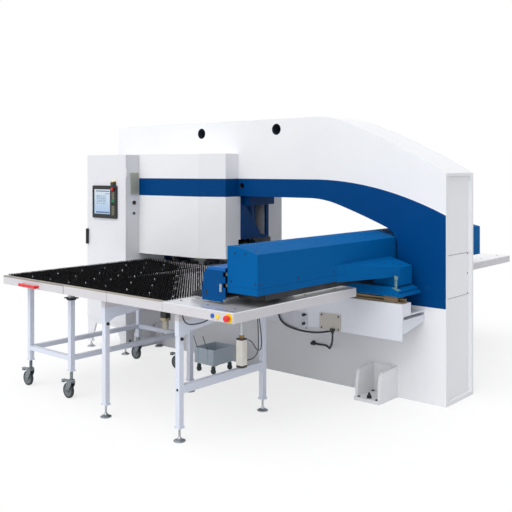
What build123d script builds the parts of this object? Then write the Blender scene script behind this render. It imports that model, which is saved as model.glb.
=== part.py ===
from build123d import *
import math
import os

# CNC turret punch press, millimetres.
# Frame: +Z up, +X along the cross beam towards the operator's side, +Y towards the rear column.
# Origin: on the floor, in the middle plane of the bridge frame, under the punch axis.

os.makedirs("parts", exist_ok=True)

# Shared clearances
running_gap = 0.3
bench_gap = 2.0

# Bridge frame
frame_width = 486.0
cheek_thickness = 30.0
frame_front = -1648.0
frame_rear = 2322.0
frame_height = 2320.0
arch_start = 1050.0
arch_knee_drop = 58.0
arch_knee = (1380.0, frame_height - arch_knee_drop)
arch_end_height = 1826.0
rear_recess = 27.0
base_plate = 31.0
cross_plate = 30.0
liner_plate = 25.0
corner_radius = 50.0

# Throat and turret bay in the frame
throat_front = 152.0
throat_rear = 1890.0
throat_top = 1600.0
throat_floor = 765.0
throat_arch_start = 1000.0
throat_knee = (1305.0, 1553.0)
throat_shoulder = (1791.0, 1378.0)
throat_corner = 1231.0
bay_front = -943.0
bay_top = 1180.0

# Holes through the frame's side plates
lifting_hole = 100.0
lifting_tube_wall = 12.0
lifting_front_drop = 107.0
lifting_rear_drop = 95.0
lifting_front = (-344.0, frame_height - lifting_front_drop)
lifting_rear = (622.0, frame_height - lifting_rear_drop)
band_hole = 55.0
band_hole_at = (196.0, 1700.0)

# Floor brackets
bracket_length = 291.0
bracket_width = 233.0
bracket_height = 254.0
bracket_plate = 28.0
bracket_gusset = 24.0
bracket_rear_y = 1778.0
bracket_front_y = -1150.0
anchor_hole = 22.0
anchor_sleeve = 40.0
anchor_inset = 80.0
levelling_bolt = 20.0
levelling_bolt_inset = 45.0

# Rear service panel
service_low = 828.0
service_high = 1176.0
service_thickness = 3.0
service_screw = 10.0

# Turrets
turret_y = -407.0
turret_radius = 470.0
pitch_radius = 407.0
station_count = 20
upper_low = 1004.0
upper_high = 1092.0
lower_low = 842.0
lower_high = 936.0
post_radius = 80.0
hub_radius = 150.0
turret_seat = 4.0
station_radii = (48.0, 21.0, 30.0, 21.0, 30.0)
punch_head_top = 1130.0
punch_tip_low = 988.0
die_top = 954.0
die_lip = 8.0

# Ram
ram_radius = 44.0
ram_travel = 40.0
striker_radius = 52.0
striker_low = 1171.0
striker_high = 1196.0
cylinder_radius = 120.0
cylinder_top = 1560.0
cylinder_flange_radius = 145.0
cylinder_flange = 25.0
bay_top_hole = 60.0
valve_block = (180.0, 150.0, 90.0)

# Turret covers
cover_low = 1008.0
cover_high = 2007.0
cover_wall = 3.0
cover_rear_x = 423.0
cover_corner = (530.0, -102.0)
cover_front_x = 590.0
cover_front_y = -889.0

# Control cabinet
cabinet_inner_x = 243.5
cabinet_outer_x = 763.0
cabinet_front_y = -1514.0
cabinet_rear_y = -892.0
cabinet_low = 306.0
cabinet_high = 2003.0
cabinet_wall = 3.0
door_thickness = 18.0
door_gap = 0.5
door_reveal = 1.5
hinge_radius = 6.0
hinge_knuckle = 60.0
hinge_inset = 200.0
panel_y = (-1407.0, -1018.0)
panel_z = (1357.0, 1690.0)
panel_depth = 16.0
screen_y = (-1384.0, -1118.0)
screen_z = (1392.0, 1658.0)
screen_recess = 3.0
panel_stop_z = 1655.0
panel_stop_shank = 9.0
panel_stop_head = 15.0
handle_y = -1496.0
handle_z = (1077.0, 1239.0)
grille_x = (604.0, 706.0)
grille_z = (1605.0, 1824.0)
grille_slats = 9
isolator_at = (660.0, 1521.0)
lock_at = (660.0, 1414.0)
stand_band = 50.0
stand_leg = 62.0
stand_plate = 18.0
stand_taper = 70.0
foot_height = 62.0

# Tables
table_top = 950.0
apron_bottom = 881.0
apron_wall = 4.0
deck_low = 906.0
deck_thickness = 4.0
plate_thickness = 6.0
table_outer_x = 2169.0
brush_inner_x = 640.0
plate_inner_x = 772.0
table_rear_y = 1840.0
plate_front_y = 1180.0
table_front_y = 43.0
edge_strip = 30.0
edge_strip_height = 8.0
cart_inner_x = 520.0
cart_front_y = -809.0
centre_half = 290.0
centre_front_y = 84.0
apron_seam_y = 580.0

# Brushes and ball transfer units
brush_tip = 962.0
brush_pitch = 25.0
brush_root = 12.0
brush_point = 7.0
brush_base = 10.0
brush_margin = 4.0
ball_pitch = 250.0
ball_top = 964.0
ball_radius = 7.0
ball_stem = 6.0

# Legs
leg_size = 40.0
leg_wall = 3.0
leg_bottom = 90.0
leg_x = (2102.0, 1222.0)
leg_y = (488.0, 1282.0)
far_leg_y = (-620.0, 488.0, 1282.0)
leg_foot_plate = 50.0
frame_arm_y = (70.0, 130.0)
frame_arm_depth = 60.0
frame_arm_end = 760.0
frame_flange = 12.0
frame_flange_low = 690.0
frame_flange_lap = 25.0
latch_x = (1975.0, 2019.0)
latch_drop = 12.0
latch_reach = 14.0
leg_foot_thickness = 14.0
arm_low = 718.0
arm_inner_low = 822.0
tie_beam_z = (325.0, 381.0)
foot_radius = 42.0
foot_stem = 8.0

# Front cart
cart_leg_x = (1997.0, 791.0)
cart_leg_y = (-662.0, -86.0)
cart_leg_bottom = 225.0
cart_rail_z = (312.0, 349.0)
cart_handle_y = (-515.0, -282.0)
cart_handle_z = 904.0
cart_handle_reach = 45.0
handle_bar = 11.0

# Casters
wheel_radius = 62.5
wheel_width = 30.0
caster_offset = 38.0
fork_plate = 3.0
fork_gap = 3.0
axle_radius = 6.0

# Beam along X, guided along Y
beam_x = (-1370.0, 1972.0)
beam_y = (1606.0, 1870.0)
beam_z = (1033.0, 1344.0)
beam_flat = 82.0
beam_rear_height = 1302.0
beam_wall = 8.0
x_rail_z = (1078.0, 1152.0)
x_rail_size = 20.0
beam_travel = 1040.0
carriage_travel = 2500.0

# Rail supports, rails and saddles beside the frame
support_y = (262.0, 2142.0)
support_x = 606.0
support_skirt_low = 550.0
support_top = 830.0
support_shelf = (692.0, 742.0)
support_plate = 12.0
support_beam = 136.0
y_rail_x = 546.0
y_rail_width = 52.0
y_rail_top = 866.0
saddle_x = (300.0, 606.0)
saddle_y = (1400.0, 2134.0)
saddle_z = (883.0, 905.0)
saddle_block_top = 955.0
console_long = (326.0, 1077.0)
console_short = 509.0
console_rear = 2070.0
console_low = 1025.0
console_top = 1155.0
console_rear_top = 1097.0

# Carriage
carriage_x = (1196.0, 1980.0)
carriage_plate_y = (1544.0, 1564.0)
carriage_plate_z = (985.0, 1189.0)
carriage_shelf = 24.0
clamp_count = 3
clamp_pitch = 300.0
clamp_width = 70.0
clamp_tip = 1204.0
clamp_rear = 1400.0
clamp_low = 966.0
clamp_base = 8.0
clamp_slot = 3.0
clamp_ear = 11.0
clamp_pivot = (1330.0, 996.0)
clamp_pin = 6.0
clamp_open = 8.0
guard_front = 1387.0
guard_low = 966.0
guard_top = 1195.0
guard_wall = 3.0
guard_x = (1190.0, 1990.0)

# Push buttons on the table's apron, seen from the operator's side
button_z = 912.0
blue_y = 1658.0
yellow_y = 1705.0
table_stop_y = 1800.0
button_radius = 15.0
button_travel = 4.0
stop_travel = 6.0
stop_ring = 30.0
button_reach = 18.0
stop_shank = 13.0
stop_head = 21.0

# Locating pin raised by the air cylinder
pin_x = 1465.0
pin_radius = 12.5
pin_travel = 30.0
air_body = 61.0
air_body_top = 597.0

# Glands of the conduits: on the frame, and behind the skirt of the rail support
frame_gland = (1052.0, 321.0)
hidden_gland = (1462.0, 544.0)
gland_radius = 13.0
gland_elbow = 28.0

# Scrap bin
bin_x = (460.0, 739.0)
bin_y = (55.0, 296.0)
bin_z = (81.0, 224.0)
bin_wall = 2.0

# Cords: radius and route, each a list of points chosen by hand
conduit_radius = 9.0
hose_radius = 4.0
cable_radius = 4.5

half_frame = frame_width / 2
inner_half = half_frame - cheek_thickness


def turned(tangent):
    """The unit direction to the right of a tangent that lies in the YZ sketch plane."""
    return Vector(tangent.Y, -tangent.X)


def frame_outline():
    """Side view of the frame: flat top that arches down to the rear column."""
    with BuildLine() as outline:
        top = Line((frame_front, frame_height), (arch_start, frame_height))
        knee = TangentArc(top @ 1, arch_knee, tangent=top % 1)
        fall = TangentArc(knee @ 1, (frame_rear, arch_end_height), tangent=knee % 1)
        Polyline(fall @ 1, (frame_rear, 0), (frame_front, 0), top @ 0)
    return outline


def throat_outline():
    """Window through the frame: arched throat at the rear, turret bay at the front."""
    with BuildLine() as outline:
        top = Line((throat_front, throat_top), (throat_arch_start, throat_top))
        knee = TangentArc(top @ 1, throat_knee, tangent=top % 1)
        fall = TangentArc(knee @ 1, throat_shoulder, tangent=knee % 1)
        corner = TangentArc(fall @ 1, (throat_rear, throat_corner), tangent=fall % 1)
        Polyline(
            corner @ 1,
            (throat_rear, throat_floor),
            (bay_front, throat_floor),
            (bay_front, bay_top),
            (throat_front, bay_top),
            top @ 0,
        )
    return outline


def strip_along(arcs, thickness, side):
    """Face between a chain of tangent arcs and the same chain moved sideways."""
    outer = list(arcs)
    ends = [turned(outer[0] % 0)] + [turned(arc % 1) for arc in outer]
    corners = [outer[0] @ 0] + [arc @ 1 for arc in outer]
    moved = [corner + normal * thickness * side for corner, normal in zip(corners, ends)]
    with BuildLine() as loop:
        add(outer)
        Line(corners[-1], moved[-1])
        for index in range(len(outer) - 1, -1, -1):
            back = (outer[index] % 1) * -1
            TangentArc(moved[index + 1], moved[index], tangent=back)
        Line(moved[0], corners[0])
    return loop


def block(x, y, z, mode=Mode.ADD):
    """Extrudes a rectangle given by its limits along X, Y and Z into the current sub-part."""
    middle = ((x[0] + x[1]) / 2, (y[0] + y[1]) / 2)
    with BuildSketch(Plane.XY.offset(z[0])) as footprint:
        with Locations(middle):
            Rectangle(abs(x[1] - x[0]), abs(y[1] - y[0]))
    extrude(footprint.sketch, amount=z[1] - z[0], mode=mode)


def column(x, y, z, radius, mode=Mode.ADD):
    """Extrudes an upright circle between two heights into the current sub-part."""
    with BuildSketch(Plane.XY.offset(z[0])) as footprint:
        with Locations((x, y)):
            Circle(radius)
    extrude(footprint.sketch, amount=z[1] - z[0], mode=mode)


def cross_pin(y, z, x, radius, mode=Mode.ADD):
    """Extrudes a circle lying along X between two places into the current sub-part."""
    with BuildSketch(Plane.YZ.offset(x[0])) as footprint:
        with Locations((y, z)):
            Circle(radius)
    extrude(footprint.sketch, amount=x[1] - x[0], mode=mode)


# Side plates
def side_plate(inner_x):
    with BuildPart() as plate:
        with BuildSketch(Plane.YZ.offset(inner_x)) as profile:
            outline = frame_outline()
            make_face(outline.edges())
        extrude(profile.sketch, amount=cheek_thickness)
        with BuildSketch(Plane.YZ.offset(inner_x)) as window:
            opening = throat_outline()
            make_face(opening.edges())
        extrude(window.sketch, amount=cheek_thickness, mode=Mode.SUBTRACT)
        with BuildSketch(Plane.YZ.offset(inner_x)) as holes:
            with Locations(lifting_front, lifting_rear):
                Circle(lifting_hole / 2)
            with Locations(band_hole_at):
                Circle(band_hole / 2)
        extrude(holes.sketch, amount=cheek_thickness, mode=Mode.SUBTRACT)
    return plate


near_side_plate = side_plate(inner_half)
near_side_plate.part.label = "near_side_plate"
export_step(near_side_plate.part, "parts/near_side_plate.step")
far_side_plate = side_plate(-half_frame)
far_side_plate.part.label = "far_side_plate"
export_step(far_side_plate.part, "parts/far_side_plate.step")


# Plates, posts and tubes welded between the side plates, each a solid of its own
def lone_block(x, y, z):
    with BuildPart() as piece:
        block(x, y, z)
    return piece.part


def lone_strip(arcs, thickness, side):
    with BuildPart() as piece:
        with BuildSketch(Plane.YZ.offset(-inner_half)) as face:
            loop = strip_along(arcs, thickness, side)
            make_face(loop.edges())
        extrude(face.sketch, amount=2 * inner_half)
    return piece.part


def arcs_of(outline):
    arcs = [edge for edge in outline.edges() if edge.geom_type == GeomType.CIRCLE]
    return sorted(arcs, key=lambda arc: (arc @ 0).X)


between = (-inner_half, inner_half)
rear_inner = frame_rear - rear_recess
front_wall = (throat_front - liner_plate, throat_front)
bay_plate_top = bay_top + liner_plate
roof_plate_top = throat_top + liner_plate
floor_plate_low = throat_floor - liner_plate
under_top = frame_height - cross_plate
window_jamb = 36.0

with BuildPart() as bay_ceiling:
    block(between, (bay_front, throat_front), (bay_top, bay_plate_top))
    column(0, 0, (bay_top, bay_plate_top), bay_top_hole, Mode.SUBTRACT)

with BuildPart() as throat_gusset:
    with BuildSketch(Plane.XZ.offset(-throat_front)) as gusset_face:
        with BuildLine():
            Polyline(
                (inner_half, 1512),
                (150, 1512),
                (-60, 1240),
                (-60, bay_plate_top),
                (inner_half, bay_plate_top),
                close=True,
            )
        make_face()
    extrude(gusset_face.sketch, amount=-10)


def turret_post(low, high, shoulder, rim):
    """Post with a wide shoulder that carries one turret disc."""
    with BuildPart() as post:
        column(0, turret_y, (min(shoulder), max(shoulder)), hub_radius)
        column(0, turret_y, (low, high), post_radius)
        if rim:
            column(0, turret_y, rim, post_radius + 34)
    return post.part


def lifting_tube(place):
    with BuildPart() as tube:
        cross_pin(*place, between, lifting_hole / 2 + lifting_tube_wall)
        cross_pin(*place, between, lifting_hole / 2, Mode.SUBTRACT)
    return tube.part


lower_shoulder = lower_low - turret_seat
upper_shoulder = upper_high + turret_seat
retaining_rim = (punch_tip_low + 2, upper_low - running_gap)
jamb_heights = (bay_plate_top, throat_top - 100)
cross_pieces = [
    lone_block(between, (frame_front, frame_rear), (0, base_plate)),
    lone_block(between, (frame_front, frame_front + cross_plate), (base_plate, under_top)),
    lone_block(between, (frame_front, arch_start), (under_top, frame_height)),
    lone_block(between, (rear_inner - cross_plate, rear_inner), (base_plate, service_low)),
    lone_block(
        between,
        (rear_inner - cross_plate, rear_inner),
        (service_high, arch_end_height - rear_recess),
    ),
    lone_block(
        between,
        (rear_inner - cross_plate, rear_inner - service_thickness),
        (service_low, service_high),
    ),
    lone_strip(arcs_of(frame_outline()), cross_plate, 1),
    lone_strip(arcs_of(throat_outline()), liner_plate, -1),
    lone_block(between, (throat_rear, throat_rear + liner_plate), (floor_plate_low, throat_corner)),
    lone_block(between, (throat_front - liner_plate, throat_arch_start), (throat_top, roof_plate_top)),
    lone_block(between, (bay_front, throat_rear), (floor_plate_low, throat_floor)),
    lone_block(between, (bay_front - liner_plate, bay_front), (floor_plate_low, bay_plate_top)),
    lone_block((-inner_half, -inner_half + window_jamb), front_wall, jamb_heights),
    lone_block((inner_half - window_jamb, inner_half), front_wall, jamb_heights),
    lone_block(between, front_wall, (throat_top - 100, throat_top)),
    lone_block((-inner_half, 158), (throat_front, throat_front + 72), (1512, throat_top)),
    bay_ceiling.part,
    throat_gusset.part,
    turret_post(lower_shoulder, die_top, (throat_floor, lower_shoulder), None),
    turret_post(punch_tip_low, upper_shoulder, (upper_shoulder, bay_top), retaining_rim),
    lifting_tube(lifting_front),
    lifting_tube(lifting_rear),
]
cross_solids = [solid for piece in cross_pieces for solid in piece.solids()]
frame_cross_plates = Compound(label="frame_cross_plates", children=cross_solids)
export_step(frame_cross_plates, "parts/frame_cross_plates.step")


# Screwed service panel in the rear end
with BuildPart() as rear_service_panel:
    panel_face = frame_rear - rear_recess - service_thickness
    panel_high = service_high - bench_gap
    block(
        (-inner_half + 1, inner_half - 1),
        (panel_face, panel_face + service_thickness),
        (service_low + bench_gap, panel_high),
    )
    middle_height = (service_low + service_high) / 2
    with BuildSketch(Plane.XZ.offset(-panel_face - service_thickness)) as screw_heads:
        with Locations((0, middle_height)):
            with GridLocations(2 * inner_half - 50, (panel_high - service_low) / 2 - 12, 2, 3):
                Circle(service_screw / 2)
    extrude(screw_heads.sketch, amount=-2.5)
rear_service_panel.part.label = "rear_service_panel"
export_step(rear_service_panel.part, "parts/rear_service_panel.step")


# Floor brackets: base plate, two tapered gussets, upright against the frame, anchor sleeve
def bracket_into(y):
    outer = half_frame + bracket_length
    ends = (y - bracket_width / 2, y + bracket_width / 2)
    block((half_frame, outer), ends, (0, bracket_plate))
    block((half_frame, half_frame + 20), ends, (bracket_plate, bracket_height))
    for edge in (ends[0], ends[1] - bracket_gusset):
        with BuildSketch(Plane.XZ.offset(-edge)) as gusset:
            with BuildLine():
                Polyline(
                    (half_frame + 20, bracket_plate),
                    (outer - 22, bracket_plate),
                    (outer - 22, 150),
                    (outer - 46, 222),
                    (outer - 66, 240),
                    (half_frame + 20, bracket_height),
                    close=True,
                )
            make_face()
        extrude(gusset.sketch, amount=-bracket_gusset)
    anchor_x = half_frame + anchor_inset
    column(anchor_x, y, (bracket_plate, bracket_plate + 70), anchor_sleeve / 2)
    column(anchor_x, y, (0, bracket_plate + 70), anchor_hole / 2, Mode.SUBTRACT)
    bolt_x = outer - levelling_bolt_inset
    column(bolt_x, y, (0, bracket_plate), levelling_bolt / 2 + running_gap, Mode.SUBTRACT)


with BuildPart() as floor_brackets:
    bracket_into(bracket_rear_y)
    bracket_into(bracket_front_y)
    mirror(about=Plane.YZ)
floor_brackets.part.label = "floor_brackets"
export_step(floor_brackets.part, "parts/floor_brackets.step")


with BuildPart() as anchor_bolts:
    for bolt_y in (bracket_rear_y, bracket_front_y):
        bolt_x = half_frame + bracket_length - levelling_bolt_inset
        column(bolt_x, bolt_y, (0, bracket_plate), levelling_bolt / 2)
        column(bolt_x, bolt_y, (bracket_plate, bracket_plate + 6), levelling_bolt * 1.05)
        with BuildSketch(Plane.XY.offset(bracket_plate + 6)) as nut:
            with Locations((bolt_x, bolt_y)):
                RegularPolygon(levelling_bolt * 0.9, 6)
        extrude(amount=16)
        column(bolt_x, bolt_y, (bracket_plate + 22, bracket_plate + 42), levelling_bolt / 2)
    mirror(about=Plane.YZ)
anchor_bolts.part.label = "anchor_bolts"
export_step(anchor_bolts.part, "parts/anchor_bolts.step")


# Turret covers: faceted sheet boxes, open to the frame and below
with BuildPart() as turret_covers:
    with BuildSketch(Plane.XY.offset(cover_low)) as cover_plan:
        with BuildLine():
            Polyline(
                (half_frame, throat_front),
                (cover_rear_x, throat_front),
                cover_corner,
                (cover_front_x, cover_front_y),
                (half_frame, cover_front_y),
                close=True,
            )
        make_face()
    extrude(amount=cover_high - cover_low)
    with BuildSketch(Plane.XY.offset(cover_low)) as cover_inside:
        with BuildLine():
            Polyline(
                (half_frame, throat_front),
                (cover_rear_x, throat_front),
                cover_corner,
                (cover_front_x, cover_front_y),
                (half_frame, cover_front_y),
                close=True,
            )
        make_face()
        offset(amount=-cover_wall, kind=Kind.INTERSECTION, mode=Mode.REPLACE)
        with Locations((half_frame, (throat_front + cover_front_y) / 2)):
            Rectangle(40, throat_front - cover_front_y - 2 * cover_wall)
    extrude(amount=cover_high - cover_low - cover_wall, mode=Mode.SUBTRACT)
    mirror(about=Plane.YZ)
turret_covers.part.label = "turret_covers"
export_step(turret_covers.part, "parts/turret_covers.step")


# Ram cylinder over the punch axis, with its valve block
with BuildPart() as ram_cylinder:
    seat = bay_top + liner_plate
    column(0, 0, (seat, seat + cylinder_flange), cylinder_flange_radius)
    column(0, 0, (seat + cylinder_flange, cylinder_top), cylinder_radius)
    block(
        (-valve_block[0] / 2, valve_block[0] / 2),
        (-valve_block[1] / 2, valve_block[1] / 2),
        (cylinder_top, cylinder_top + valve_block[2]),
    )
    column(0, 0, (seat, cylinder_top - 60), ram_radius + running_gap, Mode.SUBTRACT)
    column(0, 0, (seat, seat + 30), striker_radius + 6, Mode.SUBTRACT)
ram_cylinder.part.label = "ram_cylinder"
export_step(ram_cylinder.part, "parts/ram_cylinder.step")

with BuildPart() as ram:
    column(0, 0, (striker_low, striker_high), striker_radius)
    column(0, 0, (striker_high, cylinder_top - 130), ram_radius)
    chamfer(ram.faces().sort_by(Axis.Z)[0].edges(), 4)
ram.part.label = "ram"
export_step(ram.part, "parts/ram.step")


# Turret discs with their station bores, and the tools that sit in them
def station_places(kind):
    step = 360 / station_count
    kinds = len(station_radii)
    numbers = [i for i in range(station_count) if i % kinds == kind]
    angles = [math.radians(90 + step * i) for i in numbers]
    return [(pitch_radius * math.cos(a), turret_y + pitch_radius * math.sin(a)) for a in angles]


def turret_disc(low, high, hub_low, hub_high, side):
    with BuildPart() as disc:
        column(0, turret_y, (low, high), turret_radius)
        column(0, turret_y, (hub_low, hub_high), hub_radius)
        groove = high - 30 if side > 0 else low
        with BuildSketch(Plane.XY.offset(groove)) as relief:
            with Locations((0, turret_y)):
                Circle(pitch_radius - 75)
                Circle(hub_radius + 25, mode=Mode.SUBTRACT)
        extrude(amount=30, mode=Mode.SUBTRACT)
        column(0, turret_y, (hub_low, hub_high), post_radius + running_gap, Mode.SUBTRACT)
        for kind, radius in enumerate(station_radii):
            with BuildSketch(Plane.XY.offset(low)) as bores:
                with Locations(*station_places(kind)):
                    Circle(radius + running_gap)
            extrude(amount=high - low, mode=Mode.SUBTRACT)
    return disc


hub_rise = turret_seat - running_gap
upper_turret = turret_disc(upper_low, upper_high, upper_low, upper_high + hub_rise, 1)
upper_turret.part.label = "upper_turret"
export_step(upper_turret.part, "parts/upper_turret.step")
lower_turret = turret_disc(lower_low, lower_high, lower_low - hub_rise, lower_high, -1)
lower_turret.part.label = "lower_turret"
export_step(lower_turret.part, "parts/lower_turret.step")


with BuildPart() as punch_holders:
    for kind, radius in enumerate(station_radii):
        with BuildSketch(Plane.XY.offset(punch_tip_low)) as tips:
            with Locations(*station_places(kind)):
                Circle(radius)
        extrude(amount=upper_high - punch_tip_low)
        with BuildSketch(Plane.XY.offset(upper_high)) as springs:
            with Locations(*station_places(kind)):
                Circle(radius + 7)
        extrude(amount=14)
        with BuildSketch(Plane.XY.offset(upper_high + 14)) as heads:
            with Locations(*station_places(kind)):
                Circle(radius * 0.7)
        extrude(amount=punch_head_top - upper_high - 14)
punch_holders.part.label = "punch_holders"
export_step(punch_holders.part, "parts/punch_holders.step")

with BuildPart() as die_holders:
    for kind, radius in enumerate(station_radii):
        with BuildSketch(Plane.XY.offset(lower_low)) as shanks:
            with Locations(*station_places(kind)):
                Circle(radius)
                Circle(radius * 0.55, mode=Mode.SUBTRACT)
        extrude(amount=lower_high - lower_low)
        with BuildSketch(Plane.XY.offset(lower_high)) as lips:
            with Locations(*station_places(kind)):
                Circle(radius + die_lip)
                Circle(radius * 0.55, mode=Mode.SUBTRACT)
        extrude(amount=die_top - lower_high)
die_holders.part.label = "die_holders"
export_step(die_holders.part, "parts/die_holders.step")


# Control cabinet: open-fronted sheet body with a back plate that carries the drives
hinge_at = (cabinet_outer_x - hinge_radius, cabinet_rear_y + hinge_radius)
hinge_heights = (cabinet_low + hinge_inset, cabinet_high - hinge_inset)

with BuildPart() as cabinet_body:
    body_outer = cabinet_outer_x - door_thickness - door_gap
    block(
        (cabinet_inner_x, body_outer),
        (cabinet_front_y, cabinet_rear_y),
        (cabinet_low, cabinet_high),
    )
    block(
        (cabinet_inner_x + cabinet_wall, body_outer),
        (cabinet_front_y + cabinet_wall, cabinet_rear_y - cabinet_wall),
        (cabinet_low + cabinet_wall, cabinet_high - cabinet_wall),
        Mode.SUBTRACT,
    )
    back = cabinet_inner_x + cabinet_wall
    block((back, back + 12), (-1470, -936), (380, 1940))
    for drive in range(3):
        drive_y = -1450 + drive * 175
        block((back + 12, back + 112), (drive_y, drive_y + 120), (1200, 1560))
        block((back + 12, back + 72), (drive_y, drive_y + 120), (760, 940))
    for hinge_z in hinge_heights:
        knuckle_z = (hinge_z - hinge_knuckle / 2, hinge_z + hinge_knuckle / 2)
        column(*hinge_at, knuckle_z, hinge_radius)
        block((body_outer - 30, hinge_at[0]), (cabinet_rear_y, cabinet_rear_y + 4), knuckle_z)
    with BuildSketch(Plane.XZ.offset(-cabinet_rear_y)) as lock:
        with Locations(lock_at):
            Circle(14)
    extrude(amount=-10)
    with BuildSketch(Plane.XZ.offset(-cabinet_rear_y)) as isolator_plate:
        with Locations(isolator_at):
            RectangleRounded(54, 54, 6)
    extrude(amount=-3)
cabinet_body.part.label = "cabinet_body"
export_step(cabinet_body.part, "parts/cabinet_body.step")

with BuildPart() as vent_grille:
    grille_width = grille_x[1] - grille_x[0]
    grille_height = grille_z[1] - grille_z[0]
    grille_middle = (sum(grille_x) / 2, sum(grille_z) / 2)
    with BuildSketch(Plane.XZ.offset(-cabinet_rear_y)) as grille_face:
        with Locations(grille_middle):
            Rectangle(grille_width, grille_height)
    extrude(amount=-10)
    slat_pitch = (grille_height - 16) / grille_slats
    with BuildSketch(Plane.XZ.offset(-cabinet_rear_y - 10)) as slots:
        with Locations(grille_middle):
            with GridLocations(1, slat_pitch, 1, grille_slats):
                Rectangle(grille_width - 16, slat_pitch * 0.55)
    extrude(amount=6, mode=Mode.SUBTRACT)
vent_grille.part.label = "vent_grille"
export_step(vent_grille.part, "parts/vent_grille.step")

with BuildPart() as isolator_knob:
    knob_face = cabinet_rear_y + 3 + running_gap
    with BuildSketch(Plane.XZ.offset(-knob_face)) as knob_disc:
        with Locations(isolator_at):
            Circle(20)
    extrude(amount=-8)
    with BuildSketch(Plane.XZ.offset(-knob_face - 8)) as knob_grip:
        with Locations(isolator_at):
            SlotOverall(36, 11, rotation=90)
    extrude(amount=-16)
isolator_knob.part.label = "isolator_knob"
export_step(isolator_knob.part, "parts/isolator_knob.step")

with BuildPart() as cabinet_door:
    door_inner = cabinet_outer_x - door_thickness
    door_rear = cabinet_rear_y - door_reveal
    block(
        (door_inner, cabinet_outer_x),
        (cabinet_front_y, door_rear),
        (cabinet_low + door_reveal, cabinet_high - door_reveal),
    )
    block(
        (door_inner, cabinet_outer_x - 2),
        (cabinet_front_y + 2, door_rear - 16),
        (cabinet_low + 20, cabinet_high - 20),
        Mode.SUBTRACT,
    )
    fillet(cabinet_door.edges().filter_by(Axis.Z).group_by(Axis.X)[-1].sort_by(Axis.Y)[0], 3)
    for hinge_z in hinge_heights:
        knuckle_z = (hinge_z + hinge_knuckle / 2 + running_gap, hinge_z + hinge_knuckle)
        column(*hinge_at, knuckle_z, hinge_radius)
        block((hinge_at[0] - hinge_radius, cabinet_outer_x), (door_rear - 4, hinge_at[1]), knuckle_z)
cabinet_door.part.label = "cabinet_door"
export_step(cabinet_door.part, "parts/cabinet_door.step")


# Operator panel on the door: bezel, screen and key column
with BuildPart() as cnc_panel:
    bezel_y = sum(panel_y) / 2
    bezel_z = sum(panel_z) / 2
    with BuildSketch(Plane.YZ.offset(cabinet_outer_x)) as bezel:
        with Locations((bezel_y, bezel_z)):
            RectangleRounded(panel_y[1] - panel_y[0], panel_z[1] - panel_z[0], 12)
    extrude(amount=panel_depth)
    with BuildSketch(Plane.YZ.offset(cabinet_outer_x + panel_depth - screen_recess)) as screen:
        with Locations((sum(screen_y) / 2, sum(screen_z) / 2)):
            RectangleRounded(screen_y[1] - screen_y[0], screen_z[1] - screen_z[0], 5)
    extrude(amount=screen_recess, mode=Mode.SUBTRACT)
    key_y = (screen_y[1] + panel_y[1]) / 2
    with BuildSketch(Plane.YZ.offset(cabinet_outer_x + panel_depth)) as keys:
        with Locations((key_y, bezel_z - 20)):
            with GridLocations(23, 23, 2, 9):
                RectangleRounded(17, 17, 2)
    extrude(amount=1.5)
    beacon_x = cabinet_outer_x + panel_depth / 2
    column(beacon_x, key_y, (panel_z[1], panel_z[1] + 40), panel_depth / 2 - 0.5)
    stop_socket = (cabinet_outer_x + panel_depth - stop_travel - 2, cabinet_outer_x + panel_depth)
    cross_pin(key_y, panel_stop_z, stop_socket, panel_stop_shank + running_gap, Mode.SUBTRACT)
cnc_panel.part.label = "cnc_panel"
export_step(cnc_panel.part, "parts/cnc_panel.step")


with BuildPart() as panel_estop:
    panel_face_x = cabinet_outer_x + panel_depth
    shank_x = (panel_face_x - 1, panel_face_x + stop_travel + 4)
    cross_pin(key_y, panel_stop_z, shank_x, panel_stop_shank)
    cross_pin(key_y, panel_stop_z, (shank_x[1], shank_x[1] + 14), panel_stop_head)
    fillet(panel_estop.faces().sort_by(Axis.X)[-1].edges(), 5)
panel_estop.part.label = "panel_estop"
export_step(panel_estop.part, "parts/panel_estop.step")

with BuildPart() as door_handle:
    grip_x = cabinet_outer_x + 4
    with BuildSketch(Plane.YZ.offset(cabinet_outer_x + running_gap)) as pivot:
        with Locations((handle_y, handle_z[1] - 14)):
            Circle(12)
    extrude(amount=12)
    with BuildSketch(Plane.YZ.offset(grip_x)) as grip:
        with Locations((handle_y, sum(handle_z) / 2)):
            SlotOverall(handle_z[1] - handle_z[0], 26, rotation=90)
    extrude(amount=22)
    fillet(door_handle.faces().sort_by(Axis.X)[-1].edges(), 4)
door_handle.part.label = "door_handle"
export_step(door_handle.part, "parts/door_handle.step")


# Cabinet stand: two cut-out end frames joined by rails, on levelling feet
stand_foot_x = (cabinet_inner_x + foot_radius + 1, cabinet_outer_x - 26)

with BuildPart() as cabinet_stand:
    stand_front = cabinet_front_y + 4
    stand_rear = cabinet_rear_y - 4
    band_low = cabinet_low - stand_band
    for plate_x in (cabinet_inner_x + 6, cabinet_outer_x - 6 - stand_plate):
        with BuildSketch(Plane.YZ.offset(plate_x)) as end_frame:
            with BuildLine():
                Polyline(
                    (stand_front, foot_height),
                    (stand_front, cabinet_low),
                    (stand_rear, cabinet_low),
                    (stand_rear, foot_height),
                    (stand_rear - stand_leg, foot_height),
                    (stand_rear - stand_leg - stand_taper, band_low),
                    (stand_front + stand_leg + stand_taper, band_low),
                    (stand_front + stand_leg, foot_height),
                    close=True,
                )
            make_face()
        extrude(amount=stand_plate)
    rail_x = (cabinet_inner_x + 6 + stand_plate, cabinet_outer_x - 6 - stand_plate)
    for rail_y in (stand_front, stand_rear - 30):
        block(rail_x, (rail_y, rail_y + 30), (band_low, cabinet_low))
    for foot_x in stand_foot_x:
        for foot_y in (stand_front, stand_rear - stand_leg):
            block((foot_x - 20, foot_x + 20), (foot_y, foot_y + stand_leg), (foot_height, foot_height + 8))
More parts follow.
